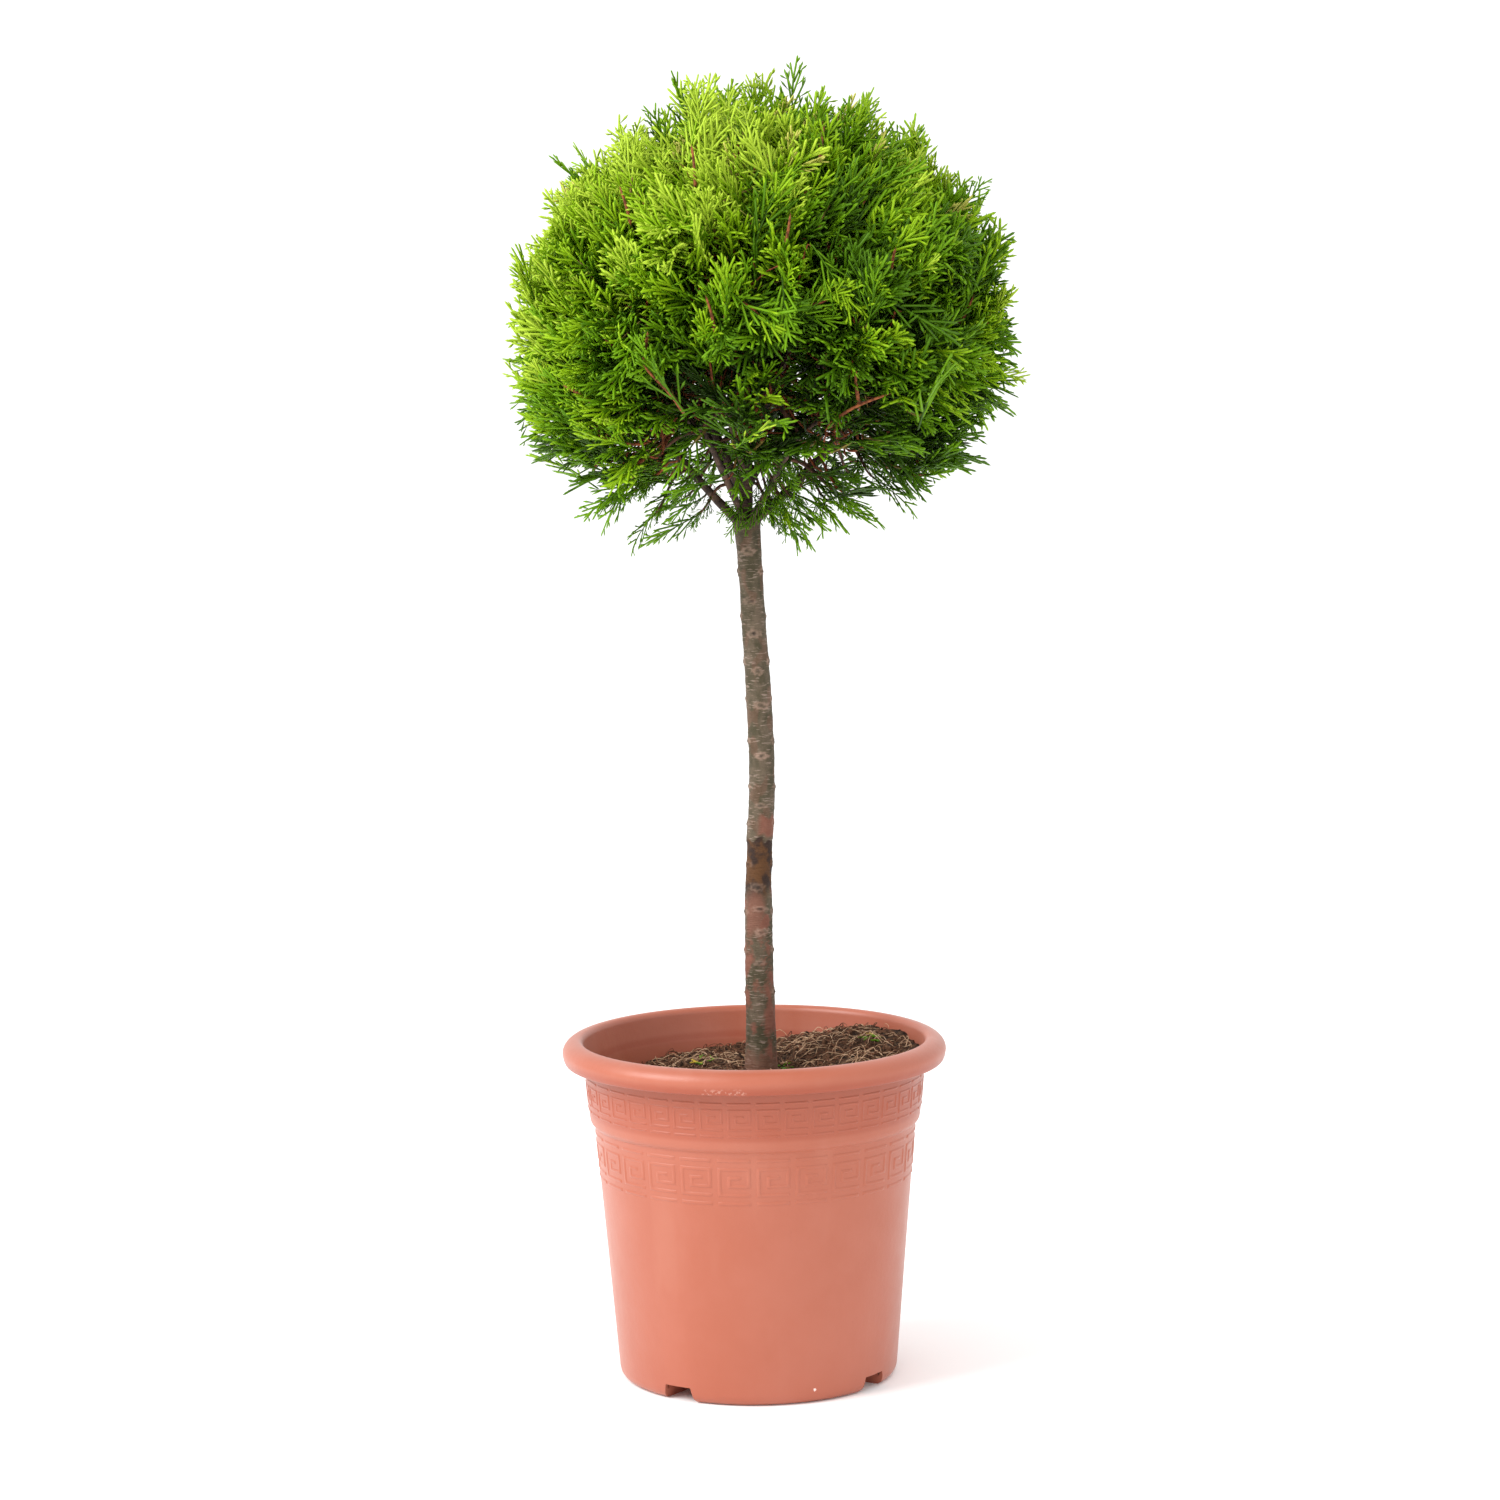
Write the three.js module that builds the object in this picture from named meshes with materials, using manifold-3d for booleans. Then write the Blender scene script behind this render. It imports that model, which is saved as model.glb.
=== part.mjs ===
// Standard lollipop topiary: a clipped cypress ball on a clear stem, planted in a moulded plastic pot.
// Millimetres, +Z up, front towards -Y. The origin is the middle of the pot's flat underside.
import * as THREE from "three";
import { mergeVertices } from "three/addons/utils/BufferGeometryUtils.js";
import Module from "manifold-3d";

const wasm = await Module();
wasm.setup();

// ---- Driving dimensions ----
const GAP = 0.3; // air between touching pieces

const POT_HEIGHT = 267.5;
const RIM_RADIUS = 150;
const WALL = 3;
const FOOT_RADIUS = 101.5; // flat part of the underside
const BODY_FOOT = { r: 109.4, z: 9 }; // where the rounded foot meets the tapered body
const BODY_TOP = { r: 125.5, z: 200.5 };
const COLLAR_FOOT = { r: 129.7, z: 208 }; // the collar stands out above a small step
const COLLAR_TOP = { r: 132.6, z: 242 };
const CREST_RADIUS = 138; // the highest line of the rolled lip
const LIP_DEPTH = 18; // the lip hangs this far below the crest
const FLOOR = 3.5;
const POT_SEGMENTS = 44;

const CHANNELS = 4; // drainage channels across the foot, each ending at a hole
const CHANNEL_TURN = THREE.MathUtils.degToRad(-125); // the first one's bearing from +X
const CHANNEL = { top: 23, foot: 29, height: 10, inner: 52 };
const DRAIN_RADIUS = 6;
const DRAIN_CENTRE = 61; // from the pot's axis

const SOIL_LEVEL = 239;
// Rises of the surface, and one dip in front.
const HEAPS = [
  { x: 82, y: 58, height: 12, spread: 36 },
  { x: -38, y: 52, height: 5, spread: 16 },
  { x: 40, y: -70, height: -5, spread: 40 },
];
const SOIL_SLOPE = 0.1; // rises towards +X
const SOIL_RIPPLE = 1.2;
const STEM_PATCH = 29; // the compost is level this near the stem

const STEM_TOP = 673;
const STEM_SIDES = 12;
const STEM_STEPS = 22;
const BOUGH_SIDES = 6;
const BOUGH_STEPS = 6;

const CROWN = { x: 11, y: 0, z: 836, wide: 191, up: 179, down: 184 };
const DOME = 1.82; // the upper half comes to a slight point,
const BELLY = 2.25; // and the lower half is squarer than a ball
const CLIPPING = 0.035; // unevenness of the clipped outline
const SEED_SHARE = 0.62; // a mass's centre, as a share of the way out from the crown's centre
const MASS_GAP = 3;
const CORE = new THREE.Vector3(2, 0, 716); // the open space around the fork
const CORE_SHARE = 0.4;
const ROUNDING = 7; // higher is squarer edges between neighbouring masses
const MASS_DETAIL = 3;

// ---- Solids and booleans ----
function solidOf(geometry) {
  const bare = geometry.clone();
  bare.deleteAttribute("normal");
  bare.deleteAttribute("uv");
  const merged = mergeVertices(bare, 1e-4);
  return new wasm.Manifold(
    new wasm.Mesh({
      numProp: 3,
      vertProperties: merged.attributes.position.array,
      triVerts: new Uint32Array(merged.index.array),
    }),
  );
}

function geometryOf(solid) {
  const mesh = solid.getMesh();
  const geometry = new THREE.BufferGeometry();
  geometry.setAttribute("position", new THREE.BufferAttribute(mesh.vertProperties, 3));
  geometry.setIndex(new THREE.BufferAttribute(mesh.triVerts, 1));
  geometry.computeVertexNormals();
  return geometry;
}

// Spins a profile of (radius, height) points about +Z.
function spun(points, segments) {
  return new THREE.LatheGeometry(points, segments).rotateX(Math.PI / 2);
}

// ---- Pot ----
const INNER_BROW = { r: COLLAR_TOP.r - 0.6, z: POT_HEIGHT - 8 }; // where the inner face meets the lip
const INSIDE = [
  { r: FOOT_RADIUS, z: FLOOR },
  ...[BODY_FOOT, BODY_TOP, COLLAR_FOOT, COLLAR_TOP].map(({ r, z }) => ({ r: r - WALL, z })),
  INNER_BROW,
];

// Radius of the pot's inner face at a height above its floor.
function insideRadius(z) {
  const next = Math.max(1, INSIDE.findIndex((s) => s.z >= z));
  const [low, high] = [INSIDE[next - 1], INSIDE[next]];
  return low.r + ((high.r - low.r) * (z - low.z)) / (high.z - low.z);
}

function potProfile() {
  const skirt = POT_HEIGHT - LIP_DEPTH;
  const p = new THREE.Path();
  p.moveTo(0, 0);
  p.lineTo(FOOT_RADIUS, 0);
  p.quadraticCurveTo(BODY_FOOT.r - 0.5, 0, BODY_FOOT.r, BODY_FOOT.z);
  p.lineTo(BODY_TOP.r, BODY_TOP.z);
  p.quadraticCurveTo(COLLAR_FOOT.r - 0.5, BODY_TOP.z + 3, COLLAR_FOOT.r, COLLAR_FOOT.z);
  p.lineTo(COLLAR_TOP.r, COLLAR_TOP.z);
  p.lineTo(CREST_RADIUS - WALL, POT_HEIGHT - 2 * WALL);
  p.lineTo(CREST_RADIUS, POT_HEIGHT - WALL);
  p.quadraticCurveTo(RIM_RADIUS - WALL, POT_HEIGHT - WALL, RIM_RADIUS - WALL, POT_HEIGHT - 10);
  p.lineTo(RIM_RADIUS - WALL - 0.8, skirt);
  p.lineTo(RIM_RADIUS - 1, skirt);
  p.lineTo(RIM_RADIUS, POT_HEIGHT - 10);
  p.quadraticCurveTo(RIM_RADIUS, POT_HEIGHT - 1, CREST_RADIUS, POT_HEIGHT);
  p.quadraticCurveTo(CREST_RADIUS - 4, POT_HEIGHT, INNER_BROW.r, INNER_BROW.z);
  for (const s of INSIDE.slice(0, -1).reverse()) p.lineTo(s.r, s.z);
  p.lineTo(0, FLOOR);
  return p.getPoints(3);
}

// A bar of trapezoid section that lies on the ground plane from `inner` out past the wall.
function channelBar(top, foot, height, inner, drop) {
  const section = new THREE.Shape();
  section.moveTo(-foot / 2, -drop);
  section.lineTo(foot / 2, -drop);
  section.lineTo(top / 2, height);
  section.lineTo(-top / 2, height);
  const length = RIM_RADIUS - inner;
  const bar = new THREE.ExtrudeGeometry(section, { depth: length, bevelEnabled: false });
  return bar.rotateX(Math.PI / 2).rotateZ(Math.PI / 2).translate(inner, 0, 0);
}

const channelTurns = Array.from(
  { length: CHANNELS },
  (_, i) => CHANNEL_TURN + (i * 2 * Math.PI) / CHANNELS,
);

// The ridge inside the pot that covers one channel, `grown` larger all round.
function ridge(turn, grown) {
  const cover = 2 * (WALL + grown);
  const bar = channelBar(
    CHANNEL.top + cover,
    CHANNEL.foot + cover,
    CHANNEL.height + WALL + grown,
    CHANNEL.inner - WALL - grown,
    -1,
  );
  const reach = spun(
    [
      new THREE.Vector2(0, 0.5),
      new THREE.Vector2(FOOT_RADIUS, 0.5),
      new THREE.Vector2(BODY_FOOT.r - 1, BODY_FOOT.z),
      new THREE.Vector2(insideRadius(2 * BODY_FOOT.z) + 1, 2 * BODY_FOOT.z),
      new THREE.Vector2(0, 2 * BODY_FOOT.z),
    ],
    POT_SEGMENTS,
  );
  return solidOf(bar.rotateZ(turn)).intersect(solidOf(reach));
}

function potGeometry() {
  let pot = solidOf(spun(potProfile(), POT_SEGMENTS));
  for (const turn of channelTurns) pot = pot.add(ridge(turn, 0));
  for (const turn of channelTurns) {
    const { top, foot, height, inner } = CHANNEL;
    pot = pot.subtract(solidOf(channelBar(top, foot, height, inner, 1).rotateZ(turn)));
    const drain = new THREE.CylinderGeometry(DRAIN_RADIUS, DRAIN_RADIUS, 40, 16);
    drain.rotateX(Math.PI / 2).translate(DRAIN_CENTRE, 0, 0).rotateZ(turn);
    pot = pot.subtract(solidOf(drain));
  }
  return geometryOf(pot);
}

// ---- Compost ----
function soilHeight(x, y) {
  let z = SOIL_SLOPE * x;
  for (const h of HEAPS) {
    z += h.height * Math.exp(-((x - h.x) ** 2 + (y - h.y) ** 2) / (2 * h.spread ** 2));
  }
  z += SOIL_RIPPLE * Math.sin(x / 9) * Math.cos(y / 11);
  const away = THREE.MathUtils.smoothstep(Math.hypot(x, y), STEM_PATCH, 2 * STEM_PATCH);
  return SOIL_LEVEL + z * away;
}

function soilGeometry() {
  const rings = 8;
  const edge = insideRadius(SOIL_LEVEL - 15) - 2 * GAP; // clear of the wall where the compost dips
  const profile = [new THREE.Vector2(0, FLOOR + GAP), new THREE.Vector2(FOOT_RADIUS - 2, FLOOR + GAP)];
  for (const { r, z } of INSIDE.slice(1, -2)) profile.push(new THREE.Vector2(r - 2 * GAP, z));
  for (let i = rings; i >= 0; i--) profile.push(new THREE.Vector2((edge * i) / rings, SOIL_LEVEL));
  const heap = spun(profile, POT_SEGMENTS);
  const at = heap.attributes.position;
  for (let i = 0; i < at.count; i++) {
    if (at.getZ(i) > SOIL_LEVEL - 1) at.setZ(i, soilHeight(at.getX(i), at.getY(i)));
  }
  let soil = solidOf(heap);
  for (const turn of channelTurns) soil = soil.subtract(ridge(turn, GAP));
  return geometryOf(soil);
}

// ---- Stem and boughs ----
// A tapering limb round a centreline of {x, y, z, r} stations, closed at both ends.
function limb(stations, sides, steps, extra = 0) {
  const line = new THREE.CatmullRomCurve3(stations.map((s) => new THREE.Vector3(s.x, s.y, s.z)));
  const taper = new THREE.CatmullRomCurve3(stations.map((s, i) => new THREE.Vector3(s.r, i, 0)));
  const frames = line.computeFrenetFrames(steps, false);
  const position = [];
  const index = [];
  for (let i = 0; i <= steps; i++) {
    const middle = line.getPoint(i / steps);
    const radius = taper.getPoint(i / steps).x + extra;
    for (let j = 0; j < sides; j++) {
      const turn = (2 * Math.PI * j) / sides;
      const out = frames.normals[i].clone().multiplyScalar(Math.cos(turn));
      out.addScaledVector(frames.binormals[i], Math.sin(turn));
      position.push(...middle.clone().addScaledVector(out, radius).toArray());
    }
  }
  for (let i = 0; i < steps; i++) {
    for (let j = 0; j < sides; j++) {
      const [a, b] = [i * sides + j, i * sides + ((j + 1) % sides)];
      index.push(a, b, b + sides, a, b + sides, a + sides);
    }
  }
  const last = steps * sides;
  for (let j = 1; j < sides - 1; j++) {
    index.push(0, j + 1, j, last, last + j, last + j + 1);
  }
  const geometry = new THREE.BufferGeometry();
  geometry.setAttribute("position", new THREE.Float32BufferAttribute(position, 3));
  geometry.setIndex(index);
  return geometry;
}

// Centreline of the stem, and of the leader that carries it on to the top of the crown.
const stemStations = [
  { x: 5.2, y: 0, z: SOIL_LEVEL + GAP, r: 13.4 },
  { x: 5.4, y: 0, z: 262, r: 12 },
  { x: 4.8, y: 1, z: 336, r: 11 },
  { x: 5.5, y: 2, z: 400, r: 10.6 },
  { x: 9, y: 3, z: 465, r: 10.2 },
  { x: 7.4, y: 2, z: 535, r: 9.9 },
  { x: 3.4, y: 1, z: 606, r: 9.4 },
  { x: 1.4, y: 0, z: 652, r: 9.6 },
  { x: 0, y: 0, z: STEM_TOP, r: 11 },
];
const leaderStations = [
  { x: 0, y: 0, z: STEM_TOP - 8, r: 7.6 },
  { x: -1, y: 3, z: 712, r: 6.8 },
  { x: 3, y: 4, z: 776, r: 5.4 },
  { x: 11, y: 2, z: 850, r: 4.2 },
  { x: 16, y: 0, z: 930, r: 3 },
];

// The foot is cut level, so the limb is trimmed just above the compost.
function stemSolid(extra) {
  const sunk = { ...stemStations[0], z: stemStations[0].z - 6 };
  const stations = [sunk, ...stemStations.slice(1)];
  const whole = solidOf(limb(stations, STEM_SIDES, STEM_STEPS, extra));
  return whole.trimByPlane([0, 0, 1], SOIL_LEVEL + GAP - extra);
}

// ---- Masses of foliage ----
// Rings of masses: bearings run from +X towards the back, lift is the tilt above the crown's middle.
const RINGS = [
  {
    level: "lower",
    lift: -26,
    places: { right: 0, back_right: 60, back_left: 120, left: 180, front_left: 238, front_right: 300 },
  },
  {
    level: "upper",
    lift: 27,
    places: { right: 18, back: 92, left: 165, front_left: 236, front_right: 305 },
  },
];

const TOP_LEAN = 8; // the top mass sits this far towards +X

function massSeeds() {
  const middle = new THREE.Vector3(CROWN.x, CROWN.y, CROWN.z);
  const top = middle.clone().add(new THREE.Vector3(TOP_LEAN, 0, SEED_SHARE * CROWN.up));
  const found = [{ name: "top", at: top }];
  for (const ring of RINGS) {
    const lift = THREE.MathUtils.degToRad(ring.lift);
    const radius = SEED_SHARE * CROWN.wide * Math.cos(lift);
    const height = SEED_SHARE * CROWN.up * Math.sin(lift);
    for (const [place, degrees] of Object.entries(ring.places)) {
      const turn = THREE.MathUtils.degToRad(degrees);
      const out = new THREE.Vector3(radius * Math.cos(turn), radius * Math.sin(turn), height);
      found.push({ name: `${ring.level}_${place}`, at: middle.clone().add(out) });
    }
  }
  return found;
}
const seeds = massSeeds();

// How far out a point lies: below 1 inside the crown's clipped outline, 1 on it.
function outness(x, y, z) {
  const up = z > CROWN.z;
  const [tall, power] = up ? [CROWN.up, DOME] : [CROWN.down, BELLY];
  const across = Math.hypot(x - CROWN.x, y - CROWN.y) / CROWN.wide;
  const bumps = Math.sin(x / 21 + 1) * Math.sin(y / 25) + Math.sin(z / 17 + x / 40);
  return (across ** power + (Math.abs(z - CROWN.z) / tall) ** power) * (1 - CLIPPING * bumps);
}

// Distance from a point inside the crown, along a unit direction, to its outline.
function toOutline(from, along) {
  let [near, far] = [0, 3 * CROWN.wide];
  for (let i = 0; i < 18; i++) {
    const reach = (near + far) / 2;
    const { x, y, z } = from.clone().addScaledVector(along, reach);
    if (outness(x, y, z) < 1) near = reach;
    else far = reach;
  }
  return near;
}

// One mass: the part of the crown nearest its seed, rounded where it meets its neighbours.
function massGeometry(seed, grown = 0) {
  const walls = [];
  for (const other of seeds) {
    if (other === seed) continue;
    const normal = other.at.clone().sub(seed.at);
    const distance = normal.length() / 2 - MASS_GAP / 2 + grown;
    walls.push({ normal: normal.normalize(), distance });
  }
  const inward = CORE.clone().sub(seed.at);
  walls.push({ distance: inward.length() * (1 - CORE_SHARE) + grown, normal: inward.normalize() });
  const ball = new THREE.IcosahedronGeometry(1, MASS_DETAIL);
  const at = ball.attributes.position;
  const along = new THREE.Vector3();
  for (let i = 0; i < at.count; i++) {
    along.fromBufferAttribute(at, i).normalize();
    const reaches = [toOutline(seed.at, along) + grown];
    for (const wall of walls) {
      const slope = along.dot(wall.normal);
      if (slope > 0.02) reaches.push(wall.distance / slope);
    }
    const sum = reaches.reduce((total, r) => total + r ** -ROUNDING, 0);
    const point = seed.at.clone().addScaledVector(along, sum ** (-1 / ROUNDING));
    at.setXYZ(i, point.x, point.y, point.z);
  }
  return ball;
}

// ---- Boughs ----
// Each leaves the stem's head or the leader at height `foot` and ends in the mass it is named after.
const BOUGHS = {
  lower_left: { foot: 664, r: 5, sag: 10 },
  lower_right: { foot: 665, r: 5.2, sag: 6 },
  lower_front_left: { foot: 669, r: 3.6, sag: 6 },
  lower_front_right: { foot: 668, r: 3.6, sag: 6 },
  lower_back_left: { foot: 667, r: 4, sag: 8 },
  lower_back_right: { foot: 666, r: 4, sag: 8 },
  upper_left: { foot: 688, r: 4.4, sag: 2 },
  upper_right: { foot: 696, r: 4.2, sag: 2 },
  upper_front_left: { foot: 706, r: 3.6, sag: 0 },
  upper_front_right: { foot: 722, r: 3.4, sag: 0 },
  upper_back: { foot: 714, r: 3.6, sag: 0 },
};

// Point of the centreline at a height on the stem's head or the leader.
function axisPoint(z) {
  const next = Math.max(1, leaderStations.findIndex((s) => s.z >= z));
  const [low, high] = [leaderStations[next - 1], leaderStations[next]];
  const share = (z - low.z) / (high.z - low.z);
  return new THREE.Vector3(low.x, low.y, low.z).lerp(new THREE.Vector3(high.x, high.y, high.z), share);
}

function boughStations({ foot, r, sag }, tip) {
  const start = axisPoint(foot);
  return [0, 0.35, 0.7, 1].map((share) => {
    const { x, y, z } = start.clone().lerp(tip, share);
    return { x, y, z: z - sag * Math.sin(Math.PI * share), r: r * (1.1 - 0.55 * share) };
  });
}

// The stretch of every limb that shows between the stem or the leader and its mass.
function limbGeometries() {
  let taken = stemSolid(GAP);
  for (const seed of seeds) taken = taken.add(solidOf(massGeometry(seed, GAP)));
  const runs = [["leader", leaderStations]];
  for (const [name, bough] of Object.entries(BOUGHS)) {
    const seed = seeds.find((s) => s.name === name);
    runs.push([`bough_${name}`, boughStations(bough, seed.at)]);
  }
  const shown = {};
  for (const [name, stations] of runs) {
    const parts = solidOf(limb(stations, BOUGH_SIDES, BOUGH_STEPS)).subtract(taken).decompose();
    parts.sort((a, b) => b.volume() - a.volume());
    shown[name] = geometryOf(parts[0]);
    taken = taken.add(solidOf(limb(stations, BOUGH_SIDES, BOUGH_STEPS, GAP)));
  }
  return shown;
}

// ---- Assembly ----
const plastic = new THREE.MeshStandardMaterial({ color: 0xd07a5c, roughness: 0.45, metalness: 0 });
const compost = new THREE.MeshStandardMaterial({ color: 0x3f2c20, roughness: 0.95, metalness: 0 });
const bark = new THREE.MeshStandardMaterial({ color: 0x6f6252, roughness: 0.8, metalness: 0 });
const twigBark = new THREE.MeshStandardMaterial({ color: 0x77503c, roughness: 0.8, metalness: 0 });
const foliage = new THREE.MeshStandardMaterial({ color: 0x5f9c1e, roughness: 0.6, metalness: 0 });

const plant = new THREE.Group();
function place(name, geometry, material) {
  const mesh = new THREE.Mesh(geometry, material);
  mesh.name = name;
  plant.add(mesh);
}

place("pot", potGeometry(), plastic);
place("compost", soilGeometry(), compost);
place("stem", geometryOf(stemSolid(0)), bark);
for (const seed of seeds) place(`foliage_${seed.name}`, massGeometry(seed), foliage);
for (const [name, geometry] of Object.entries(limbGeometries())) place(name, geometry, twigBark);

export default plant;
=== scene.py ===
"""Standard lollipop topiary cypress in a moulded plastic pot: its looks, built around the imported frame.

Lengths are worked out in millimetres and put into the meshes in metres. +Z is up, the front faces -Y, and a
bearing is measured from the front towards +X.
"""

import math

import bmesh
import bpy
import numpy as np
from mathutils import Euler, Matrix, Vector, noise
from mathutils.bvhtree import BVHTree


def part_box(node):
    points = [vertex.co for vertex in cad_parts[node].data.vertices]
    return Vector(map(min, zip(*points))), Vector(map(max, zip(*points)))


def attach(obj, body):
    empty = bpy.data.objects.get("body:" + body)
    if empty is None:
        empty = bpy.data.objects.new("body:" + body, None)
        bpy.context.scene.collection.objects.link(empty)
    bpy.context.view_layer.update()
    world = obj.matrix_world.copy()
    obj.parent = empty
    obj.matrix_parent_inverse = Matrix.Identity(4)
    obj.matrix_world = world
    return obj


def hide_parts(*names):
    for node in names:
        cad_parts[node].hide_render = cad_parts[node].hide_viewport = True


MM = 0.001
MOST_TRIANGLES = 190000  # in one piece

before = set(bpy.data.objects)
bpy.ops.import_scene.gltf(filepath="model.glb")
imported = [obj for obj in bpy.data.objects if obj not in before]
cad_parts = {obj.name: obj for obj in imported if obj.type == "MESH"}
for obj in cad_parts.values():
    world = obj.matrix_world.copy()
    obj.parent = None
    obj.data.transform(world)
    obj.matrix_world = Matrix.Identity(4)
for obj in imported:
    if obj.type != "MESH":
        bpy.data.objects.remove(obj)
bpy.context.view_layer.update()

# ---- Frame measures ----
pot_high = np.array(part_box("pot")[1]) / MM
stem_low, stem_high = (np.array(c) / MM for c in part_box("stem"))
POT_HEIGHT = pot_high[2]
RIM_RADIUS = pot_high[0]
STEM_TOP = stem_high[2]
UP = np.array([0.0, 0.0, 1.0])
FOLIAGE = sorted(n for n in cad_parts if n.startswith("foliage_"))
BOUGHS = sorted(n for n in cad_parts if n.startswith("bough_"))
CROWN = np.array([11.0, 0.0, 836.0])  # the middle of the clipped head
FORK_X = 2.0  # where the limbs leave the stem


def node_mesh(name):
    """Vertices in millimetres and faces of a frame node."""
    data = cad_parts[name].data
    points = np.empty(len(data.vertices) * 3)
    data.vertices.foreach_get("co", points)
    return points.reshape(-1, 3) / MM, [tuple(p.vertices) for p in data.polygons]


def tree_of(*names):
    """One ray-casting tree over several frame nodes."""
    points, faces = [], []
    for name in names:
        own, polygons = node_mesh(name)
        faces += [tuple(i + len(points) for i in p) for p in polygons]
        points += [Vector(p) for p in own]
    return BVHTree.FromPolygons(points, faces)


def unit(v):
    return v / np.maximum(np.linalg.norm(v, axis=-1, keepdims=True), 1e-9)


def smooth(low, high, x):
    t = np.clip((np.asarray(x, float) - low) / (high - low), 0, 1)
    return t * t * (3 - 2 * t)


# ---- Meshes ----
def show(obj, slot, *nodes):
    """Puts a finished piece on the plant's one body."""
    bpy.context.collection.objects.link(obj)
    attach(obj, "root")
    if nodes:
        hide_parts(*nodes)
    return obj


def arrays_object(name, points, triangles, finish):
    """Object from arrays of points in millimetres and of triangles."""
    mesh = bpy.data.meshes.new(name)
    count = len(triangles)
    mesh.vertices.add(len(points))
    mesh.vertices.foreach_set("co", (np.asarray(points) * MM).astype(np.float32).ravel())
    mesh.loops.add(count * 3)
    mesh.loops.foreach_set("vertex_index", np.asarray(triangles, np.int32).ravel())
    mesh.polygons.add(count)
    mesh.polygons.foreach_set("loop_start", np.arange(0, count * 3, 3, dtype=np.int32))
    mesh.polygons.foreach_set("use_smooth", np.ones(count, bool))
    mesh.update(calc_edges=True)
    mesh.materials.append(finish)
    return bpy.data.objects.new(name, mesh)


def bmesh_object(name, bm, finish, sharp=None):
    """Object from a bmesh in millimetres. Edges sharper than `sharp` degrees stay crisp."""
    bmesh.ops.scale(bm, vec=(MM, MM, MM), verts=bm.verts)
    mesh = bpy.data.meshes.new(name)
    bm.to_mesh(mesh)
    bm.free()
    for p in mesh.polygons:
        p.use_smooth = True
    if sharp is not None:
        mesh.set_sharp_from_angle(angle=math.radians(sharp))
    if finish is not None:
        mesh.materials.append(finish)
    return bpy.data.objects.new(name, mesh)


def baked(obj):
    """The object's mesh with its modifiers applied, as a new mesh; the object is removed."""
    bpy.context.view_layer.update()
    made = obj.evaluated_get(bpy.context.evaluated_depsgraph_get())
    mesh = bpy.data.meshes.new_from_object(made)
    bpy.data.objects.remove(obj, do_unlink=True)
    return mesh


def tubes(paths, radii, sides, squash=1.0):
    """Closed tapering shoots along many paths at once.

    paths is (shoots, stations, 3) and radii (shoots, stations). The first and last stations are points.
    """
    shoots, stations, _ = paths.shape
    along = unit(np.gradient(paths, axis=1))
    other = np.where(np.abs(along[:, :1, 2:]) < 0.9, UP, np.array([1.0, 0, 0]))
    across = unit(np.cross(along, other))
    over = np.cross(across, along)
    turn = np.arange(sides) * 2 * np.pi / sides
    ring = (
        np.cos(turn)[:, None] * across[:, 1:-1, None, :]
        + squash * np.sin(turn)[:, None] * over[:, 1:-1, None, :]
    )
    ring = paths[:, 1:-1, None, :] + radii[:, 1:-1, None, None] * ring
    rings = stations - 2
    points = np.concatenate(
        [paths[:, :1], ring.reshape(shoots, rings * sides, 3), paths[:, -1:]], axis=1
    )
    last = rings * sides + 1
    k = np.arange(sides)
    after = (k + 1) % sides
    faces = [np.stack([np.zeros(sides, int), 1 + after, 1 + k], 1)]
    for r in range(rings - 1):
        a, b = 1 + r * sides, 1 + (r + 1) * sides
        faces.append(np.stack([a + k, a + after, b + after], 1))
        faces.append(np.stack([a + k, b + after, b + k], 1))
    a = 1 + (rings - 1) * sides
    faces.append(np.stack([a + k, a + after, np.full(sides, last)], 1))
    faces = np.concatenate(faces)[None] + (np.arange(shoots) * (last + 1))[:, None, None]
    return points.reshape(-1, 3), faces.reshape(-1, 3)


def curves(start, start_way, end, end_way, steps, bow=0.4):
    """Smooth runs between pairs of points, leaving and arriving in the given directions."""
    reach = np.linalg.norm(end - start, axis=-1, keepdims=True) * bow
    t = np.linspace(0, 1, steps)[None, :, None]
    a, b = start[:, None], end[:, None]
    c, d = a + (reach * start_way)[:, None], b - (reach * end_way)[:, None]
    return (1 - t) ** 3 * a + 3 * (1 - t) ** 2 * t * c + 3 * (1 - t) * t**2 * d + t**3 * b


# ---- Materials ----
def srgb(r, g, b):
    """Linear colour from the familiar 0-255 values."""
    c = np.array([r, g, b]) / 255
    c = np.where(c <= 0.04045, c / 12.92, ((c + 0.055) / 1.055) ** 2.4)
    return (*[float(v) for v in c], 1.0)


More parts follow.
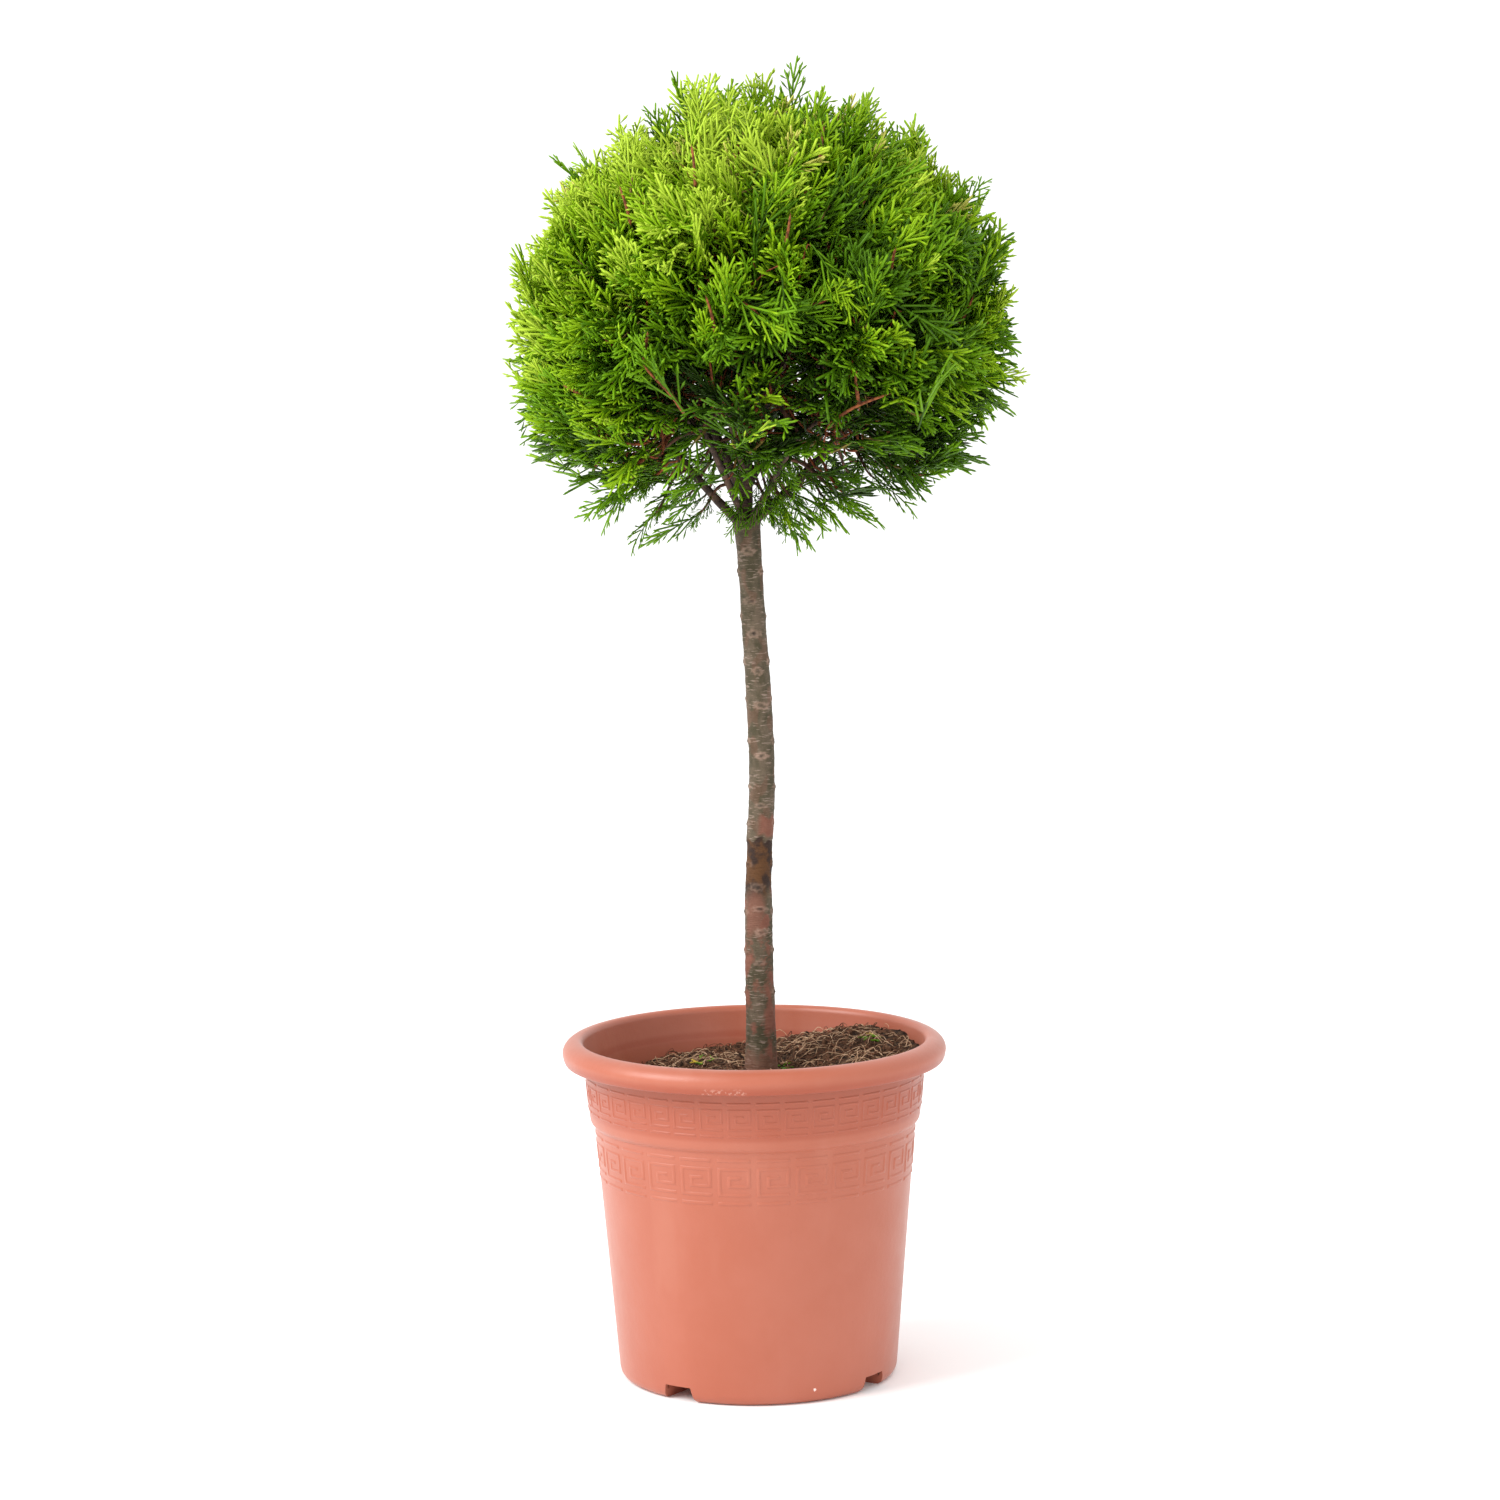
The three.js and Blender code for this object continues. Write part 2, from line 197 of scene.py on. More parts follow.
class Finish:
    """A material made of nodes on the piece's own coordinates."""

    def __init__(self, name, colour, roughness, specular=0.5):
        self.material = bpy.data.materials.new(name)
        self.material.use_nodes = True
        self.nodes = self.material.node_tree.nodes
        self.links = self.material.node_tree.links
        self.shader = self.nodes["Principled BSDF"]
        self.shader.inputs["Base Color"].default_value = colour
        self.shader.inputs["Roughness"].default_value = roughness
        self.shader.inputs["Specular IOR Level"].default_value = specular
        self.material.diffuse_color = colour
        self.place = None
        self.height = None

    def coordinates(self, scale=(1, 1, 1), move=(0, 0, 0)):
        if self.place is None:
            self.place = self.nodes.new("ShaderNodeTexCoord")
        mapping = self.nodes.new("ShaderNodeMapping")
        mapping.inputs["Scale"].default_value = scale
        mapping.inputs["Location"].default_value = move
        self.links.new(self.place.outputs["Object"], mapping.inputs["Vector"])
        return mapping.outputs["Vector"]

    def grain(self, scale, detail=3.0, rough=0.55, stretch=(1, 1, 1), move=(0, 0, 0)):
        node = self.nodes.new("ShaderNodeTexNoise")
        node.inputs["Scale"].default_value = scale
        node.inputs["Detail"].default_value = detail
        node.inputs["Roughness"].default_value = rough
        self.links.new(self.coordinates(stretch, move), node.inputs["Vector"])
        return node.outputs["Fac"]

    def cells(self, scale, stretch=(1, 1, 1), move=(0, 0, 0)):
        node = self.nodes.new("ShaderNodeTexVoronoi")
        node.inputs["Scale"].default_value = scale
        self.links.new(self.coordinates(stretch, move), node.inputs["Vector"])
        return node.outputs["Distance"]

    def between(self, value, low, high):
        """0 below low, 1 above high, smooth between; the other way round where low is above high."""
        node = self.nodes.new("ShaderNodeMapRange")
        node.interpolation_type = "SMOOTHSTEP"
        turned = low > high
        node.inputs["From Min"].default_value = min(low, high)
        node.inputs["From Max"].default_value = max(low, high)
        node.inputs["To Min"].default_value = 1.0 if turned else 0.0
        node.inputs["To Max"].default_value = 0.0 if turned else 1.0
        self.links.new(value, node.inputs["Value"])
        return node.outputs["Result"]

    def combine(self, operation, a, b):
        node = self.nodes.new("ShaderNodeMath")
        node.operation = operation
        for value, socket in ((a, node.inputs[0]), (b, node.inputs[1])):
            if isinstance(value, (int, float)):
                socket.default_value = value
            else:
                self.links.new(value, socket)
        return node.outputs[0]

    def times(self, a, b):
        return self.combine("MULTIPLY", a, b)

    def axis(self, letter):
        node = self.nodes.new("ShaderNodeSeparateXYZ")
        self.links.new(self.coordinates(), node.inputs[0])
        return node.outputs[letter]

    def girth(self):
        """How far a place is from the upright axis."""
        node = self.nodes.new("ShaderNodeVectorMath")
        node.operation = "LENGTH"
        self.links.new(self.coordinates((1, 1, 0)), node.inputs[0])
        return node.outputs["Value"]

    def mark(self, name):
        """A value stored on the piece's vertices."""
        node = self.nodes.new("ShaderNodeAttribute")
        node.attribute_name = name
        return node.outputs["Fac"]

    def spot(self, centre, radius, ragged=None):
        """1 inside a small ball about a point in metres."""
        node = self.nodes.new("ShaderNodeVectorMath")
        node.operation = "DISTANCE"
        self.links.new(self.coordinates(), node.inputs[0])
        node.inputs[1].default_value = centre
        away = node.outputs["Value"]
        if ragged is not None:
            away = self.combine("ADD", away, self.times(ragged, radius))
        return self.between(away, radius * 1.25, radius * 0.9)

    def mix(self, share, first, second):
        node = self.nodes.new("ShaderNodeMix")
        node.data_type = "RGBA"
        self.links.new(share, node.inputs["Factor"])
        for value, socket in ((first, node.inputs["A"]), (second, node.inputs["B"])):
            if isinstance(value, tuple):
                socket.default_value = value
            else:
                self.links.new(value, socket)
        return node.outputs["Result"]

    def colour(self, output):
        self.links.new(output, self.shader.inputs["Base Color"])

    def sheen(self, weight, roughness):
        self.shader.inputs["Sheen Weight"].default_value = weight
        self.shader.inputs["Sheen Roughness"].default_value = roughness

    def roughen(self, output, low, high):
        node = self.nodes.new("ShaderNodeMapRange")
        node.inputs["To Min"].default_value = low
        node.inputs["To Max"].default_value = high
        self.links.new(output, node.inputs["Value"])
        self.links.new(node.outputs["Result"], self.shader.inputs["Roughness"])

    def bump(self, height, depth):
        """Adds relief `depth` metres deep on top of what is there."""
        node = self.nodes.new("ShaderNodeBump")
        node.inputs["Strength"].default_value = 1.0
        node.inputs["Distance"].default_value = depth
        self.links.new(height, node.inputs["Height"])
        if self.height is not None:
            self.links.new(self.height, node.inputs["Normal"])
        self.height = node.outputs["Normal"]
        self.links.new(self.height, self.shader.inputs["Normal"])


SCUFF_AT, SCUFF_RADIUS = (0.0425, -0.1005, 0.0108), 0.0019
RUBBED_AT = ((-0.024, -0.1475, 0.251), (0.139, 0.052, 0.251))  # places on the lip's lower edge


def pot_plastic():
    f = Finish("terracotta_plastic", srgb(164, 88, 64), 0.42, 0.5)
    f.sheen(0.10, 0.45)
    cloud = f.grain(9.0, 4.0, 0.6)
    streak = f.grain(26.0, 3.0, 0.5, stretch=(1, 1, 0.25), move=(3, 1, 0))
    base = f.mix(f.between(cloud, 0.35, 0.68), srgb(165, 87, 62), srgb(169, 93, 70))
    base = f.mix(f.times(f.between(streak, 0.52, 0.75), 0.35), base, srgb(175, 107, 86))
    # Painted shade: on the outside of the pot, the band below the lip's overhang and the lower part of the
    # lip are painted a deeper orange that stands in for the shade under the lip.
    height, girth = f.axis("Z"), f.girth()
    collar_shade = f.times(f.between(height, 0.2045, 0.2125), f.between(height, 0.2500, 0.2460))
    collar_shade = f.times(f.times(collar_shade, f.between(girth, 0.1295, 0.1300)), 0.42)
    skirt = f.times(f.between(height, 0.2590, 0.2515), f.between(girth, 0.1440, 0.1460))
    # mixes in the deeper orange of the painted shade under the lip
    base = f.mix(f.combine("ADD", collar_shade, f.times(skirt, 0.7)), base, srgb(146, 56, 22))
    speck = f.between(f.cells(420.0), 0.10, 0.05)
    speck = f.times(speck, f.between(f.grain(60.0, 2.0, move=(7, 2, 5)), 0.60, 0.66))
    base = f.mix(speck, base, srgb(120, 66, 50))
    dust = f.between(f.grain(420.0, 2.0, move=(1, 5, 2)), 0.54, 0.62)
    low_edge = f.times(f.between(height, 0.2494, 0.2506), f.between(height, 0.2560, 0.2522))
    rubbed = f.combine("MAXIMUM", f.spot(RUBBED_AT[0], 0.016), f.spot(RUBBED_AT[1], 0.022))
    worn = f.times(f.times(dust, low_edge), rubbed)
    base = f.mix(f.times(worn, 0.22), base, srgb(240, 205, 188))
    scuff = f.spot(SCUFF_AT, SCUFF_RADIUS, f.grain(900.0, 2.0))
    base = f.mix(scuff, base, srgb(250, 222, 214))
    f.colour(base)
    f.roughen(f.grain(55.0, 3.0), 0.34, 0.48)
    f.bump(f.grain(1300.0, 2.0), 0.00006)
    f.bump(f.grain(180.0, 3.0), 0.00012)
    return f.material


def stem_bark():
    f = Finish("stem_bark", srgb(118, 100, 80), 0.75, 0.35)
    blotch = f.between(f.grain(70.0, 3.0, 0.6, stretch=(1, 1, 0.6)), 0.38, 0.66)
    bark = f.mix(blotch, srgb(64, 57, 37), srgb(94, 80, 64))
    rings = f.grain(120.0, 3.0, 0.6, stretch=(1, 1, 7.0), move=(0, 0, 2))
    lenticel = f.between(rings, 0.56, 0.65)
    bark = f.mix(f.times(lenticel, 0.8), bark, srgb(136, 118, 105))
    crack = f.between(f.grain(150.0, 2.0, 0.5, stretch=(1, 1, 6.0), move=(4, 1, 0)), 0.40, 0.32)
    bark = f.mix(f.times(crack, 0.4), bark, srgb(44, 35, 24))
    russet = f.mix(f.grain(160.0, 3.0), srgb(98, 52, 36), srgb(128, 86, 70))
    bark = f.mix(f.mark("russet"), bark, russet)
    moss = f.mix(f.between(f.grain(90.0, 3.0), 0.4, 0.6), srgb(42, 23, 12), srgb(82, 50, 19))
    bark = f.mix(f.mark("dark"), bark, moss)
    young = f.mix(f.between(f.grain(110.0, 3.0), 0.4, 0.65), srgb(50, 36, 28), srgb(92, 70, 56))
    bark = f.mix(f.mark("limb"), bark, young)
    bark = f.mix(f.mark("scar"), bark, srgb(150, 122, 106))
    bark = f.mix(f.mark("pit"), bark, srgb(36, 25, 18))
    f.colour(bark)
    f.roughen(rings, 0.6, 0.9)
    f.bump(f.grain(700.0, 3.0, stretch=(1, 1, 2.0)), 0.0003)
    f.bump(rings, 0.0007)
    return f.material


def compost_finish():
    f = Finish("compost", srgb(58, 40, 28), 0.95, 0.2)
    tone = f.mix(f.between(f.grain(160.0, 4.0, 0.7), 0.35, 0.65), srgb(36, 24, 17), srgb(94, 67, 48))
    f.colour(f.mix(f.between(f.grain(520.0, 2.0), 0.60, 0.70), tone, srgb(128, 100, 74)))
    f.bump(f.grain(420.0, 5.0, 0.7), 0.0022)
    return f.material


def grained(name, dark, light, scale, roughness=0.8, specular=0.3, relief=0.0002):
    """Small wood, root or crumb: two tones with a fine relief."""
    f = Finish(name, light, roughness, specular)
    f.colour(f.mix(f.between(f.grain(scale, 3.0), 0.35, 0.65), dark, light))
    f.bump(f.grain(scale * 4, 2.0), relief)
    return f.material


def leaf(name, colour):
    return Finish(name, colour, 0.5, 0.16).material


# ---- Pot ----
WALL = 3.0
FOOT_RADIUS = 101.5
FLOOR = 3.5
BODY_FOOT, BODY_TOP = (109.4, 9.0), (125.5, 200.5)
COLLAR_FOOT, COLLAR_TOP = (129.7, 208.0), (132.6, 242.0)
CREST = 138.0
LIP_DEPTH = 18.0
POT_STEPS = 208
CHANNELS = 4
CHANNEL_TURN = math.radians(-125)  # the first one's turn from +X
CHANNEL_TOP, CHANNEL_FOOT, CHANNEL_HEIGHT, CHANNEL_START = 23.0, 29.0, 10.0, 52.0
MOUTH_RISE = 3.5  # a channel is this much higher at its mouth
DRAIN_RADIUS, DRAIN_AT = 6.0, 61.0
INSIDE = [
    (FOOT_RADIUS, FLOOR),
    *[(r - WALL, z) for r, z in (BODY_FOOT, BODY_TOP, COLLAR_FOOT, COLLAR_TOP)],
    (CREST - 4.6, POT_HEIGHT - 5.5),
]


def inside_radius(z):
    return np.interp(z, [s[1] for s in INSIDE], [s[0] for s in INSIDE])


def filleted(corners, steps=5):
    """A section with each corner (r, z, fillet) rounded off."""
    made = []
    for i, (r, z, size) in enumerate(corners):
        here = np.array([r, z])
        if size == 0:
            made.append(here)
            continue
        before = np.array(corners[i - 1][:2]) - here
        after = np.array(corners[i + 1][:2]) - here
        start = here + unit(before) * min(size, np.linalg.norm(before) * 0.48)
        end = here + unit(after) * min(size, np.linalg.norm(after) * 0.48)
        for t in np.linspace(0, 1, steps):
            made.append((1 - t) ** 2 * start + 2 * t * (1 - t) * here + t * t * end)
    return made


def quarter(centre, wide, high, first, last, steps=9):
    """Part of an ellipse, in degrees from level outwards."""
    return [
        (centre[0] + wide * math.cos(a), centre[1] + high * math.sin(a), 0)
        for a in np.radians(np.linspace(first, last, steps))
    ]


def pot_section():
    top, skirt = POT_HEIGHT, POT_HEIGHT - LIP_DEPTH
    return filleted(
        [
            (0, 0, 0),
            (FOOT_RADIUS + 7, 0, 8),
            (*BODY_TOP, 0.5),
            (COLLAR_FOOT[0] - 0.7, BODY_TOP[1] + 3.0, 3.2),
            (COLLAR_FOOT[0] + 0.3, COLLAR_FOOT[1] + 4.0, 2.0),
            (*COLLAR_TOP, 1.5),
            (CREST - WALL, top - 2 * WALL, 2),
            (CREST, top - WALL, 2),
            (RIM_RADIUS - WALL, top - WALL, 6),
            (RIM_RADIUS - WALL, top - 10, 2),
            (RIM_RADIUS - WALL - 0.8, skirt, 0.8),
            (RIM_RADIUS - 2.2, skirt, 1.0),
            (RIM_RADIUS - 0.7, skirt + 3.2, 2.4),
            *quarter((CREST, top - 10.5), RIM_RADIUS - CREST, 10.5, 0, 90, 12),
            *quarter((CREST, top - 5.5), 4.6, 5.5, 100, 180, 8),
            *[(r, z, 1.2) for r, z in reversed(INSIDE[1:-1])],
            (*INSIDE[0], 3),
            (0, FLOOR, 0),
        ]
    )


def corner_order(face):
    """A number that puts faces in the order of their corners."""
    corners = [v.index for v in face.verts]
    return min(corners) * 1e6 + max(corners)


def spun(section, steps):
    """A closed solid of revolution from a section of (r, z) that starts and ends on the axis."""
    bm = bmesh.new()
    ring = [bm.verts.new((r, 0, z)) for r, z in section]
    edges = [bm.edges.new(pair) for pair in zip(ring, ring[1:])]
    bmesh.ops.spin(
        bm,
        geom=ring + edges,
        axis=(0, 0, 1),
        cent=(0, 0, 0),
        angle=2 * math.pi,
        steps=steps,
        use_merge=True,
    )
    bmesh.ops.remove_doubles(bm, verts=bm.verts, dist=1e-4)
    bmesh.ops.recalc_face_normals(bm, faces=bm.faces)
    bm.verts.index_update()
    bm.faces.sort(key=corner_order)  # the spin leaves them in a different order each run
    return bm


def channel_bars(bm, cover, low):
    """Four bars of trapezoid section that run out across the foot, each `cover` bigger all round."""
    for i in range(CHANNELS):
        made = bmesh.ops.create_cube(bm, size=1.0)["verts"]
        for v in made:
            wide = (CHANNEL_TOP if v.co.z > 0 else CHANNEL_FOOT) + 2 * cover
            x = RIM_RADIUS if v.co.x > 0 else CHANNEL_START - cover
            mouth = MOUTH_RISE if v.co.x > 0 else 0.0
            z = CHANNEL_HEIGHT + mouth + cover if v.co.z > 0 else low
            if cover and v.co.x > 0:
                x = FOOT_RADIUS + 2.0
            v.co = Vector((x, v.co.y * wide, z))
        turn = Matrix.Rotation(CHANNEL_TURN + i * 2 * math.pi / CHANNELS, 3, "Z")
        bmesh.ops.rotate(bm, verts=made, cent=(0, 0, 0), matrix=turn)


def drains(bm):
    for i in range(CHANNELS):
        turn = CHANNEL_TURN + i * 2 * math.pi / CHANNELS
        made = bmesh.ops.create_cone(
            bm, cap_ends=True, segments=32, radius1=DRAIN_RADIUS, radius2=DRAIN_RADIUS, depth=60
        )["verts"]
        bmesh.ops.translate(
            bm, verts=made, vec=(DRAIN_AT * math.cos(turn), DRAIN_AT * math.sin(turn), 0)
        )


def joined(first, operation, build):
    """The first object cut by or joined to what build() puts in a bmesh."""
    bm = bmesh.new()
    build(bm)
    tool = bmesh_object("tool", bm, None)
    bpy.context.collection.objects.link(tool)
    step = first.modifiers.new("cut", "BOOLEAN")
    step.operation, step.solver, step.object = operation, "EXACT", tool
    made = bpy.data.objects.new("pot_work", baked(first))
    bpy.data.objects.remove(tool, do_unlink=True)
    bpy.context.collection.objects.link(made)
    return made


def build_pot(finish):
    work = bmesh_object("pot_work", spun(pot_section(), POT_STEPS), finish)
    bpy.context.collection.objects.link(work)
    work = joined(work, "UNION", lambda bm: channel_bars(bm, WALL, 1.0))
    work = joined(work, "DIFFERENCE", lambda bm: channel_bars(bm, 0, -1.0))
    work = joined(work, "DIFFERENCE", drains)
    mesh = work.data
    bpy.data.objects.remove(work, do_unlink=True)
    for p in mesh.polygons:
        p.use_smooth = True
    mesh.set_sharp_from_angle(angle=math.radians(38))
    mesh.materials.clear()
    mesh.materials.append(finish)
    show(bpy.data.objects.new("pot_moulding", mesh), "pot_plastic", "pot")


KEY_PATTERN = (
    "XXXXXXX.",
    "........",
    "XXXXXXX.",
    "X.....X.",
    "X.XXX.X.",
    "X.X...X.",
    "X.XXXXX.",
    "X.......",
    "XXXXXXX.",
    "........",
    "XXXXXXX.",
)
RIDGE = 0.5  # the raised key lines stand this proud
RIDGE_SINK = 0.25  # and start this far inside the wall
RIDGE_SLOPE = 0.95
KEY_BANDS = (  # name, units round the pot, lower and upper edge, and the wall's run there
    ("key_band_high", 38, 213.5, 241.5, COLLAR_FOOT, COLLAR_TOP),
    ("key_band_low", 26, 159.6, 196.6, BODY_FOOT, BODY_TOP),
)


def key_band(name, units, low, high, foot, top, finish):
    """A raised key-pattern band round the wall between two heights."""
    rows, columns = len(KEY_PATTERN), len(KEY_PATTERN[0]) * units
    bm = bmesh.new()
    bmesh.ops.create_grid(bm, x_segments=columns, y_segments=rows, size=0.5)
    width = len(KEY_PATTERN[0])

    def drawn(face):
        at = face.calc_center_median()
        column = int((at.x + 0.5) * columns)
        row = rows - 1 - int((at.y + 0.5) * rows)
        return KEY_PATTERN[row][column % width] == "X"

    bmesh.ops.delete(bm, geom=[f for f in bm.faces if not drawn(f)], context="FACES")
    for v in bm.verts:
        bearing = (v.co.x + 0.5) * 2 * math.pi
        z = low + (v.co.y + 0.5) * (high - low)
        r = np.interp(z, [foot[1], top[1]], [foot[0], top[0]]) - RIDGE_SINK
        v.co = Vector((r * math.sin(bearing), -r * math.cos(bearing), z))
    bmesh.ops.remove_doubles(bm, verts=bm.verts, dist=1e-3)
    fronts = list(bm.faces)
    copied = bmesh.ops.duplicate(bm, geom=fronts)["geom"]
    backs = [part for part in copied if isinstance(part, bmesh.types.BMFace)]
    bmesh.ops.reverse_faces(bm, faces=backs)
    bmesh.ops.inset_region(
        bm,
        faces=fronts,
        thickness=RIDGE_SLOPE,
        depth=RIDGE + RIDGE_SINK,
        use_even_offset=True,
        use_boundary=True,
    )
    bmesh.ops.remove_doubles(bm, verts=bm.verts, dist=1e-3)
    show(bmesh_object(name, bm, finish, 50), "pot_plastic", "pot")


# ---- Compost ----
BED_RINGS, BED_TURNS = 64, 240
BED_GAP = 0.4  # between the bed and the pot's wall
BED_BASE, BED_WALL, BED_LEVEL = 14, 120, 230  # heights of the plain bed before its surface is shaped
BARE_RING = 16  # round the stem, with no loose fibres on it
CRUMBS = 1700
STRAND_STATIONS = 8
CLIPPING_SPOTS = ((-40, 42), (-96, -14), (24, 14), (44, -40), (98, 30))
CLIPPINGS_EACH = 5  # at each spot; the last of them is yellow
CLIPPING_FAN = ((0, 15), (0.5, 9), (-0.5, 9), (0.35, 7), (-0.4, 6))  # lean and reach of its shoots


class Bed:
    """The compost's surface, and places scattered on it."""

    def __init__(self, rng):
        self.rng = rng
        self.tree = tree_of("compost")
        self.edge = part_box("compost")[1][0] / MM
        self.outer = float(inside_radius(232)) - BED_GAP

    def height(self, x, y):
        r = math.hypot(x, y)
        inner = min(1.0, (self.edge - 4.0) / max(r, 1e-6))
        hit = self.tree.ray_cast(Vector((x * inner, y * inner, 400.0)), Vector((0, 0, -1)))[0]
        z = hit.z if hit else 238.0
        lump = noise.noise(Vector((x / 14, y / 14, 3.0))) * 3.2
        fine = noise.noise(Vector((x / 4.5, y / 4.5, 8.0))) * 1.7
        return z + (lump + fine) * float(smooth(11, 24, r)) - 0.6

    def places(self, count, least, most):
        """Points on the bed between two distances from the middle."""
        r = np.sqrt(self.rng.uniform(least**2, most**2, count))
        a = self.rng.uniform(0, 2 * np.pi, count)
        x, y = r * np.cos(a), r * np.sin(a)
        return np.stack([x, y, [self.height(*p) for p in zip(x, y)]], 1)


def build_bed(bed):
    level = [(bed.outer * (1 - i / BED_RINGS), BED_LEVEL) for i in range(BED_RINGS)]
    wall = [(float(inside_radius(z)) - BED_GAP, z) for z in (BED_BASE, BED_WALL)]
    bm = spun([(0, BED_BASE), *wall, *level, (0, BED_LEVEL)], BED_TURNS)
    for v in bm.verts:
        if v.co.z > BED_LEVEL - 5:
            r = math.hypot(v.co.x, v.co.y)
            z = bed.height(v.co.x, v.co.y)
            if r > bed.outer - 0.1:
                scale = (float(inside_radius(z)) - BED_GAP) / r
                v.co.x, v.co.y = v.co.x * scale, v.co.y * scale
            v.co.z = z
    show(bmesh_object("compost_bed", bm, compost_finish()), "compost", "compost")


def build_crumbs(bed):
    rng = bed.rng
    places = bed.places(CRUMBS, BARE_RING + 1, bed.outer - 4)
    ball = bmesh.new()
    bmesh.ops.create_icosphere(ball, subdivisions=1, radius=1.0)
    shape = np.array([v.co[:] for v in ball.verts])
    faces = np.array([[v.index for v in f.verts] for f in ball.faces])
    ball.free()
    size = rng.gamma(1.8, 0.7, (CRUMBS, 1, 1)).clip(0.5, 5.0) * rng.uniform(0.6, 1.3, (CRUMBS, 1, 3))
    knobbly = shape[None] * size * rng.uniform(0.72, 1.2, (CRUMBS, len(shape), 1))
    points = places[:, None] + knobbly + np.array([0, 0, 0.5])
    triangles = faces[None] + (np.arange(CRUMBS) * len(shape))[:, None, None]
    crumb = grained("compost_crumb", srgb(34, 22, 16), srgb(100, 72, 54), 300.0, 0.95, 0.15, 0.0006)
    made = arrays_object("compost_crumbs", points.reshape(-1, 3), triangles.reshape(-1, 3), crumb)
    show(made, "compost", "compost")


def build_clippings(bed):
    """Little green and yellow shoots that were clipped off and lie on the bed."""
    rng = bed.rng
    spots = np.array(CLIPPING_SPOTS, float)
    spots = np.repeat(spots, CLIPPINGS_EACH, 0) + rng.normal(0, 5, (len(spots) * CLIPPINGS_EACH, 2))
    foot = np.array([[x, y, bed.height(x, y) + 1.5] for x, y in spots])
    turn = rng.uniform(0, 2 * np.pi, len(spots))
    old = np.arange(len(spots)) % CLIPPINGS_EACH == CLIPPINGS_EACH - 1
    for name, own, finish in (
        ("green", ~old, leaf("clipping_green", srgb(84, 124, 14))),
        ("yellow", old, leaf("clipping_yellow", srgb(176, 150, 52))),
    ):
        paths, start, a = [], foot[own], turn[own]
        for lean, reach in CLIPPING_FAN:
            way = np.stack([np.cos(a + lean), np.sin(a + lean), rng.uniform(0.02, 0.3, len(a))], 1)
            root = start + np.stack([np.cos(a), np.sin(a), 0.1 + 0 * a], 1) * abs(lean) * 10
            along = 0.75 * reach * np.array([0, 0.15, 0.8, 1.0])
            paths.append(root[:, None] + way[:, None] * along[None, :, None])
        paths = np.concatenate(paths)
        points, triangles = tubes(paths, np.tile([0, 0.65, 0.55, 0], (len(paths), 1)), 4)
        show(arrays_object("clippings_" + name, points, triangles, finish), "foliage")


def build_strands(bed, name, count, reach, thick, dark, light, lift):
    """Loose fibres that lie on the bed and rise a little off it."""
    rng = bed.rng
    foot = bed.places(count, BARE_RING, bed.outer - 9)
    turn = rng.uniform(0, 2 * np.pi, count)
    way = turn[:, None] + rng.normal(0, 0.28, (count, STRAND_STATIONS)).cumsum(1)
    step = rng.uniform(*reach, count)[:, None] / STRAND_STATIONS
    x = foot[:, :1] + (np.cos(way) * step).cumsum(1)
    y = foot[:, 1:2] + (np.sin(way) * step).cumsum(1)
    inner = np.minimum(1, (bed.outer - 5) / np.hypot(x, y))
    x, y = x * inner, y * inner
    z = np.array([[bed.height(*p) for p in zip(*row)] for row in zip(x, y)])
    arch = np.sin(np.linspace(0.1, 3.0, STRAND_STATIONS))[None]
    z += 0.4 + np.abs(rng.normal(0, lift, (count, 1))) * arch
    radii = rng.uniform(*thick, (count, 1)) * np.linspace(1, 0.7, STRAND_STATIONS)[None]
    points, triangles = tubes(np.stack([x, y, z], 2), radii, 4)
    fibre = grained(name + "_fibre", dark, light, 200.0, 0.85, 0.2, 0.0002)
    show(arrays_object("compost_" + name, points, triangles, fibre), "compost", "compost")


def build_compost(rng):
    bed = Bed(rng)
    build_bed(bed)
    build_crumbs(bed)
    build_clippings(bed)
    build_strands(bed, "pale", 620, (12, 40), (0.18, 0.34), srgb(160, 124, 94), srgb(208, 174, 142), 3.2)
    build_strands(bed, "brown", 1900, (6, 26), (0.22, 0.5), srgb(58, 37, 27), srgb(118, 80, 58), 2.4)


# ---- Stem and limbs ----
FRONT = np.array([0.0, -1.0, 0.0])


def slice_of(tree, z, guess):
    """Centre and mean radius of the stem at a height."""
    centre = np.array([guess[0], guess[1]])
    for _ in range(4):
        hits = []
        for a in np.arange(12) * math.pi / 6:
            way = Vector((math.cos(a), math.sin(a), 0))
            start = Vector((*centre, z)) + way * 60
            hit = tree.ray_cast(start, -way)[0]
            hits.append(hit[:2] if hit else tuple(centre))
        hits = np.array(hits)
        centre = (hits.max(0) + hits.min(0)) / 2
    return centre, float(np.linalg.norm(hits - centre, axis=1).mean())


def stem_run():
    """Stations x, y, z, radius up the stem."""
    tree = tree_of("stem")
    stations, guess = [], ((stem_low[0] + stem_high[0]) / 2, 0.0)
    for z in np.linspace(stem_low[2] + 0.5, STEM_TOP - 1.5, 60):
        guess, r = slice_of(tree, z, guess)
        stations.append((*guess, z, r))
    return np.array(stations)


